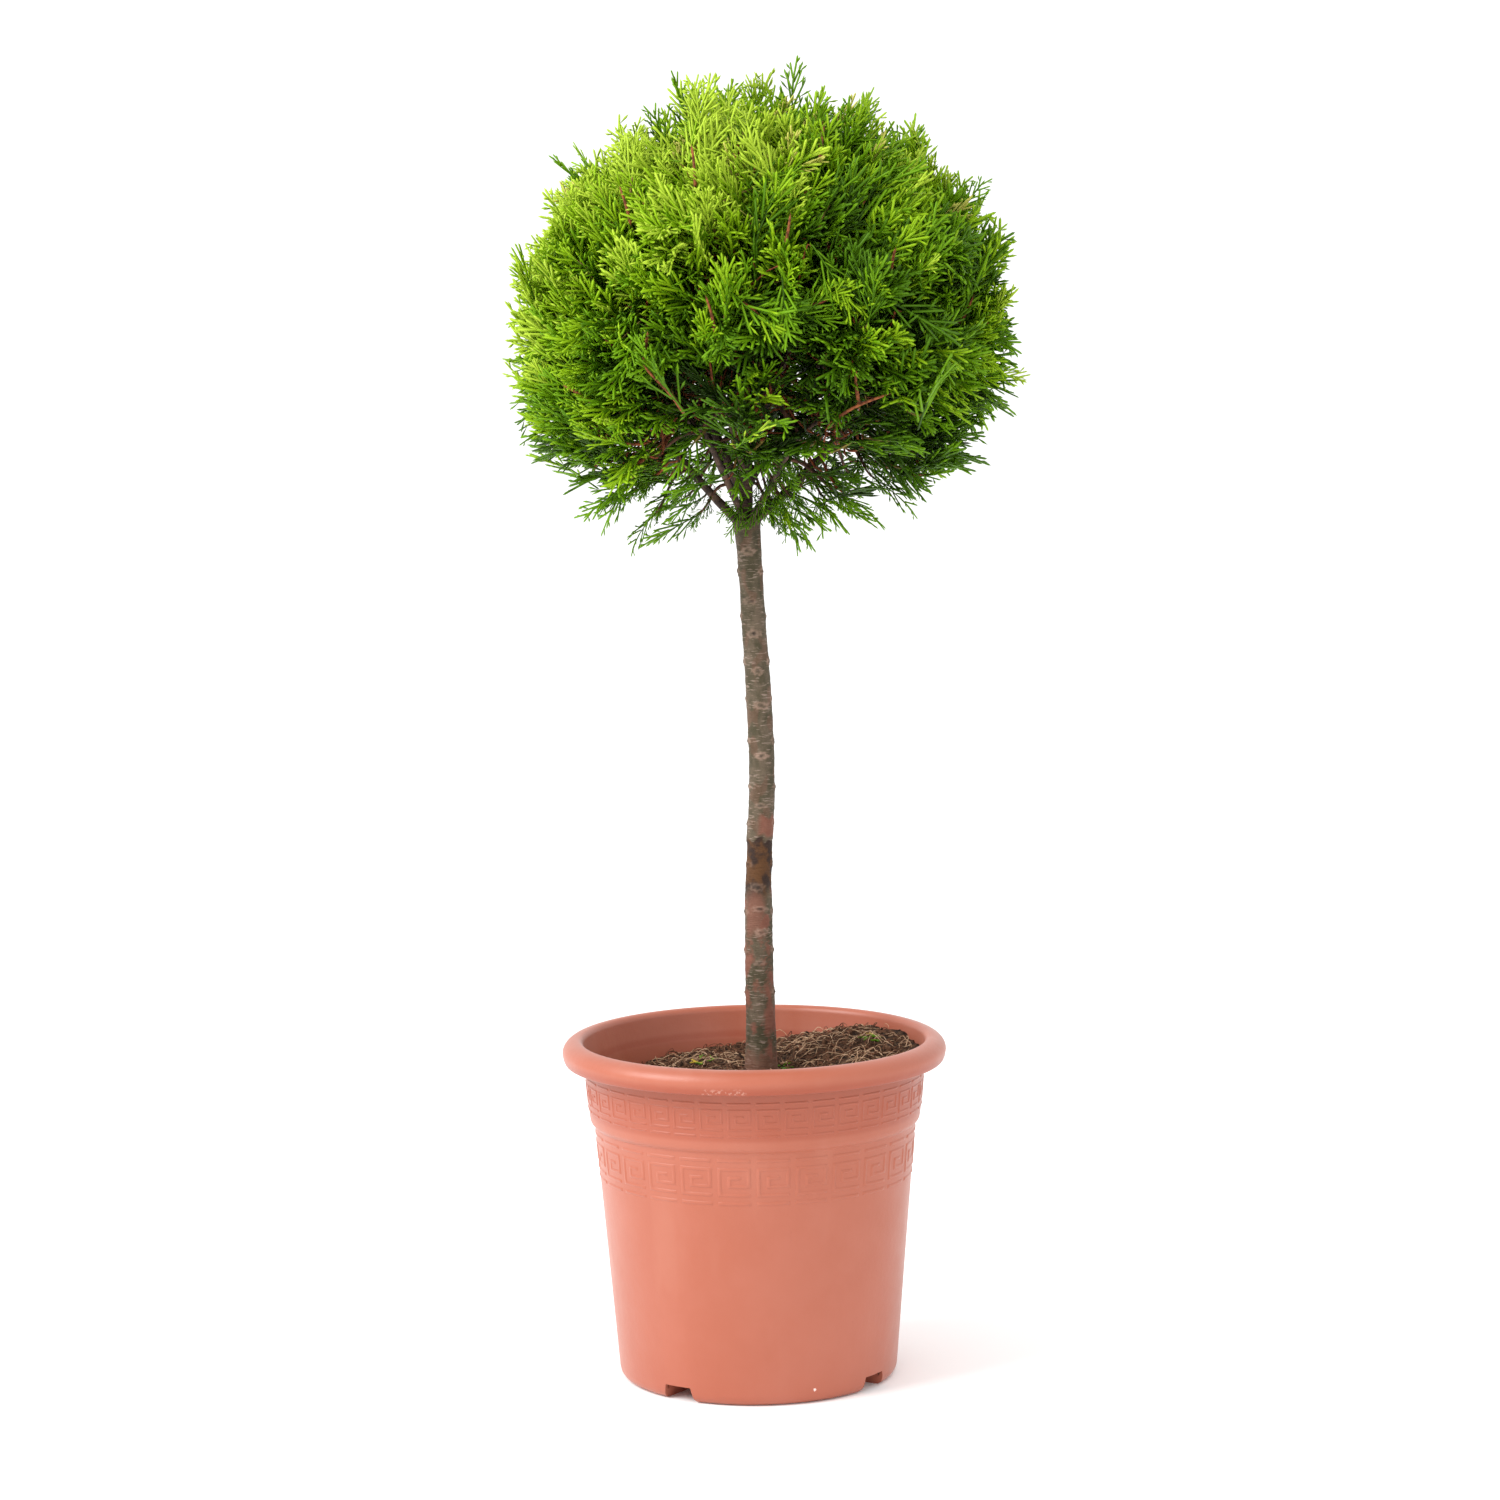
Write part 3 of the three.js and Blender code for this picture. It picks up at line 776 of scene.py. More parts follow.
def limb_run(name, onward=None):
    """Stations of a limb from its frame node, carried on to a point inside its mass."""
    points, _ = node_mesh(name)
    middle = points.mean(0)
    way = np.linalg.svd(points - middle)[2][0]
    head = np.array([FORK_X, 0.0, 690.0])
    if way @ (middle - head) < 0:
        way = -way
    t = (points - middle) @ way
    fit = np.polyfit(t, points, 2)
    centre = np.stack([np.polyval(fit[:, k], t) for k in range(3)], 1)
    spread = np.polyfit(t, np.linalg.norm(points - centre, axis=1), 1)
    ts = np.linspace(t.min(), t.max(), 9)
    run = np.stack([np.polyval(fit[:, k], ts) for k in range(3)], 1)
    radius = np.polyval(spread, ts).clip(1.6, 9)
    if onward is None:
        return np.column_stack([run, radius])
    way = unit(run[-1] - run[-2])
    more = curves(run[-1:], way[None], onward[None], unit(onward - run[-1])[None], 8)[0][1:]
    more_radius = radius[-1] * np.linspace(0.95, 0.45, len(more))
    return np.column_stack([np.vstack([run, more]), np.concatenate([radius, more_radius])])


def add_limb(bm, run, sides):
    """A capped round limb through the stations, from a cone cut into rings."""
    one = bmesh.new()
    bmesh.ops.create_cone(one, cap_ends=True, segments=sides, radius1=1, radius2=1, depth=1)
    sideways = [e for e in one.edges if abs(e.verts[0].co.z - e.verts[1].co.z) > 0.5]
    steps = np.linalg.norm(np.diff(run[:, :3], axis=0), axis=1)
    bmesh.ops.subdivide_edges(one, edges=sideways, cuts=max(6, int(steps.sum() / 4)))
    length = np.concatenate([[0], steps.cumsum()]) / steps.sum()
    along = unit(np.gradient(run[:, :3], axis=0))
    reference = np.eye(3)[np.abs(along.mean(0)).argmin()]
    for v in one.verts:
        t = v.co.z + 0.5
        centre = np.array([np.interp(t, length, run[:, k]) for k in range(3)])
        way = unit(np.array([np.interp(t, length, along[:, k]) for k in range(3)]))
        across = unit(np.cross(reference, way))
        over = np.cross(way, across)
        v.co = Vector(centre + np.interp(t, length, run[:, 3]) * (v.co.x * across + v.co.y * over))
    mesh = bpy.data.meshes.new("limb_work")
    one.to_mesh(mesh)
    one.free()
    bm.from_mesh(mesh)
    bpy.data.meshes.remove(mesh)


NODE_START, NODE_STEP, NODE_END = 648.0, 33.0, 262  # the stem's paired bud scars
FRONT_SCARS = (648, 609, 584, 555, 528, 489, 450, 386, 369, 351, 327)
DARK_LOW, DARK_HIGH = 380.0, 424.0  # the dark worn section of the stem
STEM_SIDES, LIMB_SIDES = 28, 14
SKIN_VOXEL = 0.95
SKIN_ROUNDS = 3  # of smoothing


def noise_at(points, wide, tall, move=0.0):
    """Smooth noise at points, in lumps about `wide` across and `tall` high."""
    return np.array([noise.noise(Vector((p[0] / wide, p[1] / wide, p[2] / tall + move))) for p in points])


def window(x, low, full, still, high):
    """1 from `full` to `still`, and 0 below `low` and above `high`."""
    return smooth(low, full, x) * smooth(high, still, x)


def wood_skin(stem, runs):
    """Stem, leader and boughs grown together as one mesh, with its points and normals."""
    bm = bmesh.new()
    add_limb(bm, stem, STEM_SIDES)
    for run in runs.values():
        add_limb(bm, run, LIMB_SIDES)
    rough = bmesh_object("wood_work", bm, None)
    bpy.context.collection.objects.link(rough)
    skin = rough.modifiers.new("skin", "REMESH")
    skin.mode, skin.voxel_size = "VOXEL", SKIN_VOXEL * MM
    mesh = baked(rough)
    bm = bmesh.new()
    bm.from_mesh(mesh)
    for _ in range(SKIN_ROUNDS):
        bmesh.ops.smooth_vert(
            bm, verts=bm.verts, factor=0.5, use_axis_x=True, use_axis_y=True, use_axis_z=True
        )
    bm.to_mesh(mesh)
    bm.free()
    points, normals = np.empty(len(mesh.vertices) * 3), np.empty(len(mesh.vertices) * 3)
    mesh.vertices.foreach_get("co", points)
    mesh.vertex_normals.foreach_get("vector", normals)
    return mesh, points.reshape(-1, 3) / MM, normals.reshape(-1, 3)


def bud_scars(rng):
    """Height, bearing and whether it faces the front, for each bud scar on the stem."""
    eyes = [(height, rng.normal(0, 0.16), True) for height in FRONT_SCARS]
    for i in range(int((NODE_START - NODE_END) / (NODE_STEP / 2))):
        height = NODE_START - i * NODE_STEP / 2 + rng.normal(0, 2.2)
        for side in (0.0, math.pi):
            turn = side + (math.pi / 2 if i % 2 else 0.0) + rng.normal(0, 0.22)
            if i % 2 or side > 0:
                eyes.append((height, turn, False))
    return eyes


def build_wood(rng, stem, runs):
    """Trunk, leader and boughs as one skin with its bark relief."""
    mesh, points, normals = wood_skin(stem, runs)
    z = points[:, 2]
    axis = np.stack([np.interp(z, stem[:, 2], stem[:, k]) for k in (0, 1)], 1)
    girth = np.interp(z, stem[:, 2], stem[:, 3])
    off = points[:, :2] - axis
    bearing = np.arctan2(off[:, 0], -off[:, 1])
    limb = smooth(STEM_TOP - 14, STEM_TOP + 4, z)
    limb = np.maximum(limb, smooth(15, 19, np.hypot(*off.T)) * (z > 600))
    on_stem = 1 - limb

    ripple = np.array([noise.fractal(Vector((p[0] / 9, p[1] / 9, p[2] / 3.2)), 1.0, 2.0, 3) for p in points])
    relief = 0.22 * ripple + 0.45 * noise_at(points, 16, 16, 7)
    wobble = noise_at(points, 2.6, 1.7, 90)
    scar, pit = np.zeros(len(points)), np.zeros(len(points))
    for height, turn, front in bud_scars(rng):
        # Each scar is a swelling with a pale ring about it and a dark pit in its middle.
        across = (bearing - turn + math.pi) % (2 * math.pi) - math.pi
        dx, dz = across * girth, z - height
        wide, tall = rng.uniform(3.8, 6.0), rng.uniform(1.9, 3.1)
        q = np.hypot(dx / wide, dz / tall) + 0.6 * wobble
        proud = rng.uniform(0.5, 1.1) + (0.0 if front else 0.4)
        relief += on_stem * proud * np.exp(-((q / 0.62) ** 2))
        relief += on_stem * 0.3 * np.exp(-(((q - 1.05) / 0.2) ** 2))
        relief -= on_stem * 0.7 * np.exp(-((q / 0.2) ** 2))
        pale = on_stem * np.exp(-(((q - 0.85) / 0.28) ** 2)) + 0.5 * on_stem * np.exp(-((q / 0.5) ** 2))
        scar = np.maximum(scar, pale * rng.uniform(0.35, 0.75))
        pit = np.maximum(pit, on_stem * np.exp(-((q / 0.3) ** 2)) * rng.uniform(0.6, 1.0))

    ragged = 5.0 * noise_at(points, 6, 10)
    rough_height = z + ragged
    dark = smooth(DARK_LOW - 6, DARK_LOW + 10, rough_height)
    dark = dark * smooth(DARK_HIGH, DARK_HIGH - 3, z + 2 * ragged)
    relief -= 0.5 * dark * on_stem
    # Reddish bark: patches, a band over the dark section, a patch under it, the foot and worn places.
    patch = noise_at(points, 8, 13, 40)
    russet = smooth(0.18, 0.34, patch) * (0.25 + 0.75 * smooth(400, 380, z))
    band = window(rough_height, 424, 428, 439, 444)
    russet = np.maximum(russet, band * smooth(-0.5, 0.2, bearing) * smooth(2.2, 1.5, bearing))
    below = window(rough_height, 344, 356, 380, 386)
    below *= smooth(-1.3, -0.8, bearing) * smooth(0.6, 0.2, bearing + 0.4 * patch)
    foot = smooth(262, 246, rough_height)
    worn = 0.62 * smooth(-0.06, 0.26, patch + 0.5 * wobble) * smooth(388, 372, z)
    for more in (0.8 * below, 0.6 * foot, worn):
        russet = np.maximum(russet, more)

    points = points + normals * relief[:, None]
    mesh.vertices.foreach_set("co", (points * MM).astype(np.float32).ravel())
    for name, values in (
        ("scar", scar * (1 - 0.6 * dark)),
        ("pit", pit),
        ("dark", dark * on_stem),
        ("russet", russet * on_stem),
        ("limb", limb),
    ):
        mesh.attributes.new(name, "FLOAT", "POINT").data.foreach_set("value", values.astype(np.float32))
    for p in mesh.polygons:
        p.use_smooth = True
    mesh.update()
    mesh.materials.clear()
    mesh.materials.append(stem_bark())
    show(bpy.data.objects.new("trunk_and_boughs", mesh), "bark", "stem", "leader", *BOUGHS)


# ---- Crown ----
GRID_AROUND, GRID_UP = 120, 60
FULLER = (  # directions from the middle in which the shoots stand further out, or less far, in mm
    (-0.45, -0.1, 0.89, 16),
    (-0.68, 0.0, 0.73, -6),
    (-0.86, 0.0, 0.50, -6),
    (-1.00, 0.0, 0.06, -8),
    (-0.83, 0.0, -0.55, 8),
    (-0.59, 0.0, -0.81, -12),
    (0.59, -0.1, 0.81, 14),
    (0.87, 0.0, 0.49, -9),
    (0.97, 0.0, 0.23, 8),
    (0.99, 0.0, -0.10, -7),
    (0.94, 0.0, -0.34, 5),
    (0.86, 0.0, -0.51, 13),
    (0.75, 0.0, -0.66, -15),
    (0.46, -0.1, -0.89, 8),
)


class Outline:
    """How far the clipped head reaches from its middle in any direction."""

    def __init__(self, tree):
        self.reach = np.zeros((GRID_UP + 1, GRID_AROUND))
        for i in range(GRID_UP + 1):
            lift = math.pi * (i / GRID_UP - 0.5)
            for j in range(GRID_AROUND):
                turn = 2 * math.pi * j / GRID_AROUND
                level = math.cos(lift)
                way = Vector((level * math.cos(turn), level * math.sin(turn), math.sin(lift)))
                hit = tree.ray_cast(Vector(CROWN) + way * 400, -way)[0]
                self.reach[i, j] = (hit - Vector(CROWN)).length if hit else 0
        wide = self.reach
        for k in (-1, 1):
            wide = np.maximum(wide, np.roll(self.reach, k, 1))
        lift = np.pi * (np.arange(GRID_UP + 1) / GRID_UP - 0.5)[:, None]
        turn = 2 * np.pi * np.arange(GRID_AROUND)[None] / GRID_AROUND
        level = np.cos(lift)
        ways = np.stack([level * np.cos(turn), level * np.sin(turn), np.sin(lift) + 0 * turn], 2)
        for *way, more in FULLER:
            wide = wide + more * smooth(0.925, 0.99, ways @ unit(np.array(way)))
        self.reach = wide

    def __call__(self, ways):
        lift = np.arcsin(ways[:, 2].clip(-1, 1)) / math.pi + 0.5
        turn = (np.arctan2(ways[:, 1], ways[:, 0]) / (2 * math.pi)) % 1.0
        u, v = lift * GRID_UP, turn * GRID_AROUND
        i, j = np.minimum(u.astype(int), GRID_UP - 1), v.astype(int)
        fu, fv = u - i, v - j
        j, k = j % GRID_AROUND, (j + 1) % GRID_AROUND
        low = self.reach[i, j] * (1 - fv) + self.reach[i, k] * fv
        high = self.reach[i + 1, j] * (1 - fv) + self.reach[i + 1, k] * fv
        return low * (1 - fu) + high * fu


def spread_ways(count, rng, jitter):
    """Directions spread evenly over a ball, each nudged a little."""
    k = np.arange(count) + 0.5
    z = 1 - 2 * k / count
    turn = k * math.pi * (3 - math.sqrt(5))
    level = np.sqrt(1 - z * z)
    ways = np.stack([level * np.cos(turn), level * np.sin(turn), z], 1)
    return unit(ways + rng.normal(0, jitter, ways.shape))


def growth(ways):
    """Which way shoots grow at a place on the head: up and out on top, level on its underside."""
    outward = unit(ways * np.array([1, 1, 0.0]) + 1e-6)
    left = smooth(0.1, -0.8, ways[:, :1])
    rise = 0.12 + 0.5 * smooth(-0.35, 0.5, ways[:, 2:]) + 0.28 * left
    high = unit(ways + UP * rise)
    low = unit(outward + 0.3 * ways - UP * 0.02)
    share = smooth(-0.62, -0.2, ways[:, 2:])
    return unit(low * (1 - share) + high * share)


# ---- Sprays ----
SPRAY_LENGTH = 60.0
CORD = 1.2  # half the thickness of a scaly shoot
TEMPLATES = 10
CORD_KINDS = 3  # inner, middle and tip shoots of a spray
BRANCHLETS = 10
BRANCHLET_LENGTH = 35.0
SIDE_SHOOT_STEP = 7.5  # one side shoot for every so much of a branchlet
SIDE_SHOOT_LEAST = 9.0


def merged(blocks):
    """The points and triangles of several blocks as one block."""
    starts = np.cumsum([0] + [len(points) for points, _ in blocks])
    points = np.concatenate([points for points, _ in blocks])
    return points, np.concatenate([triangles + start for (_, triangles), start in zip(blocks, starts)])


def spray_template(rng):
    """One flat feathered spray along +X with its face to +Z, as (points, triangles) for each kind of cord."""
    kinds = [[] for _ in range(CORD_KINDS)]
    bend = rng.normal(0, 2.5)

    def cord(kind, path, radii):
        kinds[kind].append(tubes(np.array(path)[None], np.array(radii)[None], 3, 0.8))

    def axis(s):
        return np.array([SPRAY_LENGTH * s, bend * math.sin(math.pi * s), 1.5 * math.sin(2.2 * s)])

    cord(0, [axis(s) for s in (0, 0.03, 0.3, 0.6, 0.64)], [0, 1.0, 0.95, 0.9, 0])
    cord(1, [axis(s) for s in (0.56, 0.6, 0.8, 0.84)], [0, CORD, CORD, 0])
    cord(2, [axis(s) for s in (0.78, 0.82, 0.96, 1.0)], [0, CORD, CORD * 0.8, 0])
    for i in range(BRANCHLETS):
        s = 0.10 + 0.78 * i / (BRANCHLETS - 1) + rng.normal(0, 0.015)
        side = 1 if i % 2 else -1
        grow = min(1.0, 0.6 + 2.0 * s) * (1 - 0.62 * s)
        length = BRANCHLET_LENGTH * grow * rng.uniform(0.75, 1.12)
        lean = math.radians(37 - 11 * s + rng.normal(0, 5))
        out = math.radians(rng.normal(0, 24))
        base = axis(s)
        way = np.array(
            [math.cos(lean), side * math.sin(lean) * math.cos(out), math.sin(lean) * math.sin(out)]
        )
        hook = np.array([0.10, -side * 0.07, 0.03])
        kind = 1 if s < 0.5 else 2
        path = [base + length * (t * way + t * t * hook) for t in (0, 0.12, 0.9, 1.0)]
        cord(kind, path, [0, CORD, CORD * 0.9, 0])
        shoots = int(length / SIDE_SHOOT_STEP) - 1
        for k in range(max(0, shoots)):
            t = 0.22 + 0.56 * (k + 0.5) / shoots + rng.normal(0, 0.02)
            hand = side if k % 2 == 0 else -side
            turn = lean * side + hand * math.radians(26 + rng.normal(0, 5))
            reach = max(SIDE_SHOOT_LEAST, (0.68 - 0.36 * t) * length) * rng.uniform(0.8, 1.15)
            start = base + length * (t * way + t * t * hook)
            direction = np.array([math.cos(turn), math.sin(turn), way[2] + rng.normal(0, 0.2)])
            end = start + reach * direction
            cord(2 if t > 0.4 else kind, [start, start + 0.7 * reach * direction, end], [0, CORD, 0])
    return [merged(blocks) for blocks in kinds]


LEAF_TONES = (
    ("shade", srgb(38, 62, 8)),
    ("deep", srgb(50, 80, 6)),
    ("mid", srgb(74, 114, 6)),
    ("fresh", srgb(102, 146, 8)),
    ("lime", srgb(136, 174, 18)),
    ("tip", srgb(168, 196, 52)),
    ("straw", srgb(194, 192, 92)),
)
STRAW = len(LEAF_TONES) - 1
# Inner cords are darker as painted shade within a spray; tip cords are lighter both as fresh growth and as a
# painted highlight.
KIND_LIFT = (-0.7, 0.25, 1.15)  # how much lighter each kind of cord is


def shared_out(blocks):
    """The blocks in order, in groups of at most MOST_TRIANGLES."""
    groups, count = [], 0
    for block in blocks:
        if not groups or count + len(block[1]) > MOST_TRIANGLES:
            groups.append([])
            count = 0
        groups[-1].append(block)
        count += len(block[1])
    return groups


class Sprays:
    """Where every spray sits: its foot, the way it grows, its face, size, bow and tone."""

    def __init__(self):
        self.rows = []

    def add(self, tip, way, face, size, bow, tone, straw=None):
        if straw is None:
            straw = np.zeros(len(tip), bool)
        foot = tip - way * (size * SPRAY_LENGTH)[:, None]
        self.rows.append((foot, way, face, size, bow, tone, straw))
        return foot

    def build(self, rng, templates):
        foot, way, face, size, bow, tone, straw = (np.concatenate(c) for c in zip(*self.rows))
        face = unit(face - way * (face * way).sum(1, keepdims=True))
        side = np.cross(face, way)
        pick = rng.integers(0, len(templates), len(foot))
        flip = rng.choice([-1.0, 1.0], len(foot))

        def placed(own, points, triangles):
            """A template's cords at each of the chosen sprays."""
            x, y, z = points.T
            mirrored = y[None] * flip[own, None]
            bent = z[None] + bow[own, None] * (x[None] / SPRAY_LENGTH) ** 2 * SPRAY_LENGTH
            local = np.stack([np.broadcast_to(x, mirrored.shape), mirrored, bent], 2)
            local = local * size[own, None, None]
            basis = np.stack([way[own], side[own], face[own]], 1)
            made = foot[own, None] + np.einsum("npk,nkc->npc", local, basis)
            turned = np.where((flip[own] > 0)[:, None, None], triangles[None], triangles[None, :, ::-1])
            offset = (np.arange(len(own)) * len(points))[:, None, None]
            return made.reshape(-1, 3), (turned + offset).reshape(-1, 3)

        held = [[] for _ in LEAF_TONES]
        for t, template in enumerate(templates):
            here = np.flatnonzero(pick == t)
            for kind, (points, triangles) in enumerate(template):
                level = tone[here] + KIND_LIFT[kind] + rng.uniform(-0.5, 0.5, len(here))
                level = np.rint(level).clip(0, STRAW - 1).astype(int)
                level[straw[here] & (kind > 0)] = STRAW
                for tint in np.unique(level):
                    held[tint].append(placed(here[level == tint], points, triangles))
        for (name, colour), blocks in zip(LEAF_TONES, held):
            finish = leaf("spray_" + name, colour)
            for number, group in enumerate(shared_out(blocks), 1):
                made = arrays_object(f"sprays_{name}_{number}", *merged(group), finish)
                show(made, "foliage", *FOLIAGE)


# ---- Head ----
TUFTS = 190
TUFT_END = 62  # a branch ends this far inside the outline, and a little further back
TUFT_BACK = 26
# The last column darkens the deeper layer of sprays as painted shade inside the head.
LAYERS = (  # sprays, their depth and its spread, the jitter of their places, and how much darker they are
    (2750, 0.0, 4.5, 0.02, 0.0),
    (750, 36.0, 10.0, 0.04, 1.0),
)
PLAIN_TONE = 2.15  # between mid and fresh
LEAST_AHEAD = 0.4  # a spray points at least this much outwards
LIT_SIDE = np.array([-0.70, -0.36, 0.62])
DIM_SIDE = np.array([0.9, -0.43, 0.0])
DROOPERS = 24
DROOP_STATIONS = 12
HUNG = (  # drooping shoots near the front: turn from +X in degrees, reach, height of the tip, droop
    (-172, 97, 654, 0.9),
    (-162, 122, 676, 0.75),
    (-150, 146, 681, 0.6),
    (-168, 64, 690, 0.7),
    (-156, 88, 682, 0.6),
    (-32, 52, 656, 0.95),
    (-62, 72, 676, 0.5),
    (-50, 94, 672, 0.5),
    (-40, 108, 686, 0.4),
    (-22, 84, 668, 0.6),
    (-24, 112, 674, 0.45),
    (-12, 132, 680, 0.45),
    (-70, 104, 700, 0.5),
    (-30, 92, 686, 0.35),
    (-15, 72, 680, 0.5),
    (-42, 78, 672, 0.6),
)
FORK_TUFT = 4
STRAYS = (  # tips of the longest shoots that stand out of the clipped line
    (214, -10, 775),
    (-182, -5, 797),
    (41, 0, 1017),
    (-49, -10, 1011),
    (185, -20, 928),
    (-139, 0, 949),
    (-126, 10, 957),
)
LOOSE_STRAYS = 26
CLEARINGS = (  # places where shoots are few: x, z, radius, share left out, and how far back it goes
    (-30, 672, 24, 1.0, 300),
    (-95, 686, 50, 0.45, 300),
    (88, 700, 48, 0.35, 300),
    (-24, 742, 22, 0.6, 0),
    (42, 722, 20, 0.6, 0),
)
BARE_TWIGS = (  # twigs that show between the front shoots: x, z of the inner end and of the outer end
    (-44, 756, -74, 796),
    (-74, 796, -70, 820),
    (58, 744, 108, 772),
    (84, 758, 82, 790),
    (-34, 922, -37, 956),
    (58, 938, 61, 976),
    (30, 872, 35, 904),
    (-82, 896, -90, 926),
    (-20, 812, -28, 846),
    (108, 850, 112, 878),
    (-112, 762, -136, 780),
)
BARE_DEPTHS = ((0, 26.0), (2, 5.0))  # column of an end in BARE_TWIGS, and its depth below the outline
BRANCH_STATIONS, TWIG_STATIONS, STALK_STATIONS = 14, 10, 6
FORK_CLEARANCE = 70  # no branches end nearer to the fork than this
TWIGS_EACH = 6
TWIG_REACH = 80
TWIG_DEPTH = 38
TWIG_FROM = 3  # stalks leave a twig from this station on
STALK_REACH = 42
WOODY_SHARE, YOUNG_SHARE = 0.34, 0.4


class Crown:
    """The clipped head: its sprays, and the branches, twigs and stalks that carry them."""

    def __init__(self, rng, runs):
        self.rng = rng
        self.outline = Outline(tree_of(*FOLIAGE))
        self.limb_points = np.concatenate([r[:, :3] for r in runs.values()])
        self.limb_ways = np.concatenate([unit(np.gradient(r[:, :3], axis=0)) for r in runs.values()])
        self.sprays, self.hanging = Sprays(), Sprays()
        self.tuft_way = spread_ways(TUFTS, rng, 0.05)
        self.tuft_depth = np.abs(rng.normal(0, 10, TUFTS)).clip(0, 28)
        self.tuft_lean = rng.normal(0, 0.36, (TUFTS, 3))
        self.tuft_tone = rng.normal(0, 0.5, TUFTS)
        self.tuft_growth = unit(growth(self.tuft_way) + self.tuft_lean)
        reach = (self.outline(self.tuft_way) - TUFT_END)[:, None]
        self.tuft_end = CROWN + self.tuft_way * reach - self.tuft_growth * TUFT_BACK
        self.feet, self.tufts_of = [], []

    def layer_places(self, count, depth, spread, jitter):
        """Directions, tips, tufts and depths of a layer's sprays, thinned where the head is open."""
        rng = self.rng
        way = spread_ways(count, rng, jitter)
        reach = self.outline(way)
        cosine = way @ self.tuft_way.T
        tuft = cosine.argmax(1)
        rim = np.arccos(cosine.max(1).clip(-1, 1)) / math.sqrt(4 / TUFTS)
        edge = smooth(0.45, 0.8, np.abs(way[:, 0]))
        sink = (
            depth
            - 5
            + 6 * smooth(0.1, 0.5, way[:, 2])
            + self.tuft_depth[tuft] * (1 - 0.6 * edge)
            + (32 - 20 * edge) * rim**2
        )
        sink = (sink + rng.normal(0, spread, count)).clip(-7, None)
        tip = CROWN + way * (reach - sink)[:, None]
        z = tip[:, 2]
        keep = 0.42 + 0.58 * smooth(690, 790, z)
        keep = np.maximum(keep, 0.75 * smooth(0.45, 0.75, np.abs(way[:, 0])) * (depth < 10))
        if depth > 10:
            keep *= 1 - 0.5 * smooth(790, 740, z)
        fork = np.hypot((tip[:, 0] - FORK_X) * 0.85, z - 705)
        keep *= 1 - 0.5 * smooth(125, 60, fork) * smooth(60, 0, tip[:, 1])
        keep *= 1 - 0.55 * smooth(110, 50, fork) * smooth(0, 60, tip[:, 1])
        for x, height, radius, share, back in CLEARINGS:
            inside = smooth(radius * 1.2, radius * 0.8, np.hypot(tip[:, 0] - x, z - height))
            keep *= 1 - share * inside * (tip[:, 1] < back)
        kept = rng.uniform(0, 1, count) < keep
        return way[kept], tip[kept], tuft[kept], sink[kept]

    def dress(self, count, depth, spread, jitter, darker):
        """One layer of sprays over the head."""
        rng = self.rng
        way, tip, tuft, sink = self.layer_places(count, depth, spread, jitter)
        n = len(tip)
        grow = unit(growth(way) + self.tuft_lean[tuft] + rng.normal(0, 0.2, (n, 3)))
        ahead = (grow * way).sum(1, keepdims=True)
        grow = unit(grow + np.maximum(0, LEAST_AHEAD - ahead) * way * 1.3)
        level = smooth(-0.1, -0.6, way[:, 2:])
        face = (
            UP * (0.25 + 1.1 * level)
            + way * (0.75 * (1 - level))
            + rng.normal(0, 0.42, (n, 3)) * (1 - 0.5 * level)
        )
        size = rng.uniform(0.72, 1.2, n) * (1 - 0.12 * smooth(0.2, 0.9, way[:, 2]))
        bow = rng.normal(0.0, 0.07, n) - 0.10 * level[:, 0]
        height = way[:, 2]
        # The tone paints light and shade: lighter towards the top and towards LIT_SIDE as painted light, and
        # darker on the underside, towards DIM_SIDE, the deeper a spray sinks and in the inner layer as
        # painted shade; tuft_tone and the random term are the foliage's own tones.
        tone = (
            PLAIN_TONE
            + 1.15 * smooth(-0.2, 0.95, height)
            - 0.4 * smooth(-0.2, -0.8, height)
            + self.tuft_tone[tuft]
            + rng.normal(0, 0.45, n)
            + 1.35 * smooth(0.4, 0.95, way @ LIT_SIDE)
            - 0.42 * smooth(0.35, 0.9, way @ DIM_SIDE)
            - 0.034 * sink
            - darker
        )
        straw = rng.uniform(0, 1, n) < 0.035 * smooth(0.25, 0.6, height) * (darker == 0)
        self.feet.append(self.sprays.add(tip, grow, face, size, bow, tone, straw))
        self.tufts_of.append(tuft)

    def hang(self):
        """Drooping shoots of the underside, each with three side sprays; returns their branches."""
        rng = self.rng
        turn = np.arange(DROOPERS) * 2 * math.pi / DROOPERS + rng.normal(0, 0.06, DROOPERS)
        turn = turn[(-np.sin(turn) < 0.45) & (np.abs(np.cos(turn) + 0.15) > 0.55)]
        reach = rng.uniform(58, 128, len(turn))
        low = 654 + np.maximum(0, reach - 82) * 0.6 + rng.uniform(0, 20, len(turn))
        hung = np.array(HUNG)
        drop = np.concatenate([np.full(len(turn), 0.42), hung[:, 3]])[:, None]
        turn = np.concatenate([turn, np.radians(hung[:, 0])])
        reach, low = np.concatenate([reach, hung[:, 1]]), np.concatenate([low, hung[:, 2]])
        outward = np.stack([np.cos(turn), np.sin(turn), 0 * turn], 1)
        tip = outward * reach[:, None] + np.stack([0 * low + FORK_X, 0 * low, low], 1)
        n = len(tip)
        grow = unit(outward - UP * drop + rng.normal(0, 0.12, (n, 3)))
        face = UP + rng.normal(0, 0.25, (n, 3))
        tone = rng.normal(1.7, 0.35, n)
        size = rng.uniform(0.55, 0.85, n)
        bow = rng.normal(-0.06, 0.05, n) - 0.2 * drop[:, 0]
        foot = self.hanging.add(tip, grow, face, size, bow, tone)
        wanted = (foot - outward * 30 + UP * 30)[:, None]
        root = self.limb_points[np.linalg.norm(self.limb_points[None] - wanted, axis=2).argmin(1)]
        path = curves(root, unit(outward + UP * 0.25), foot + 4 * grow, grow, DROOP_STATIONS)
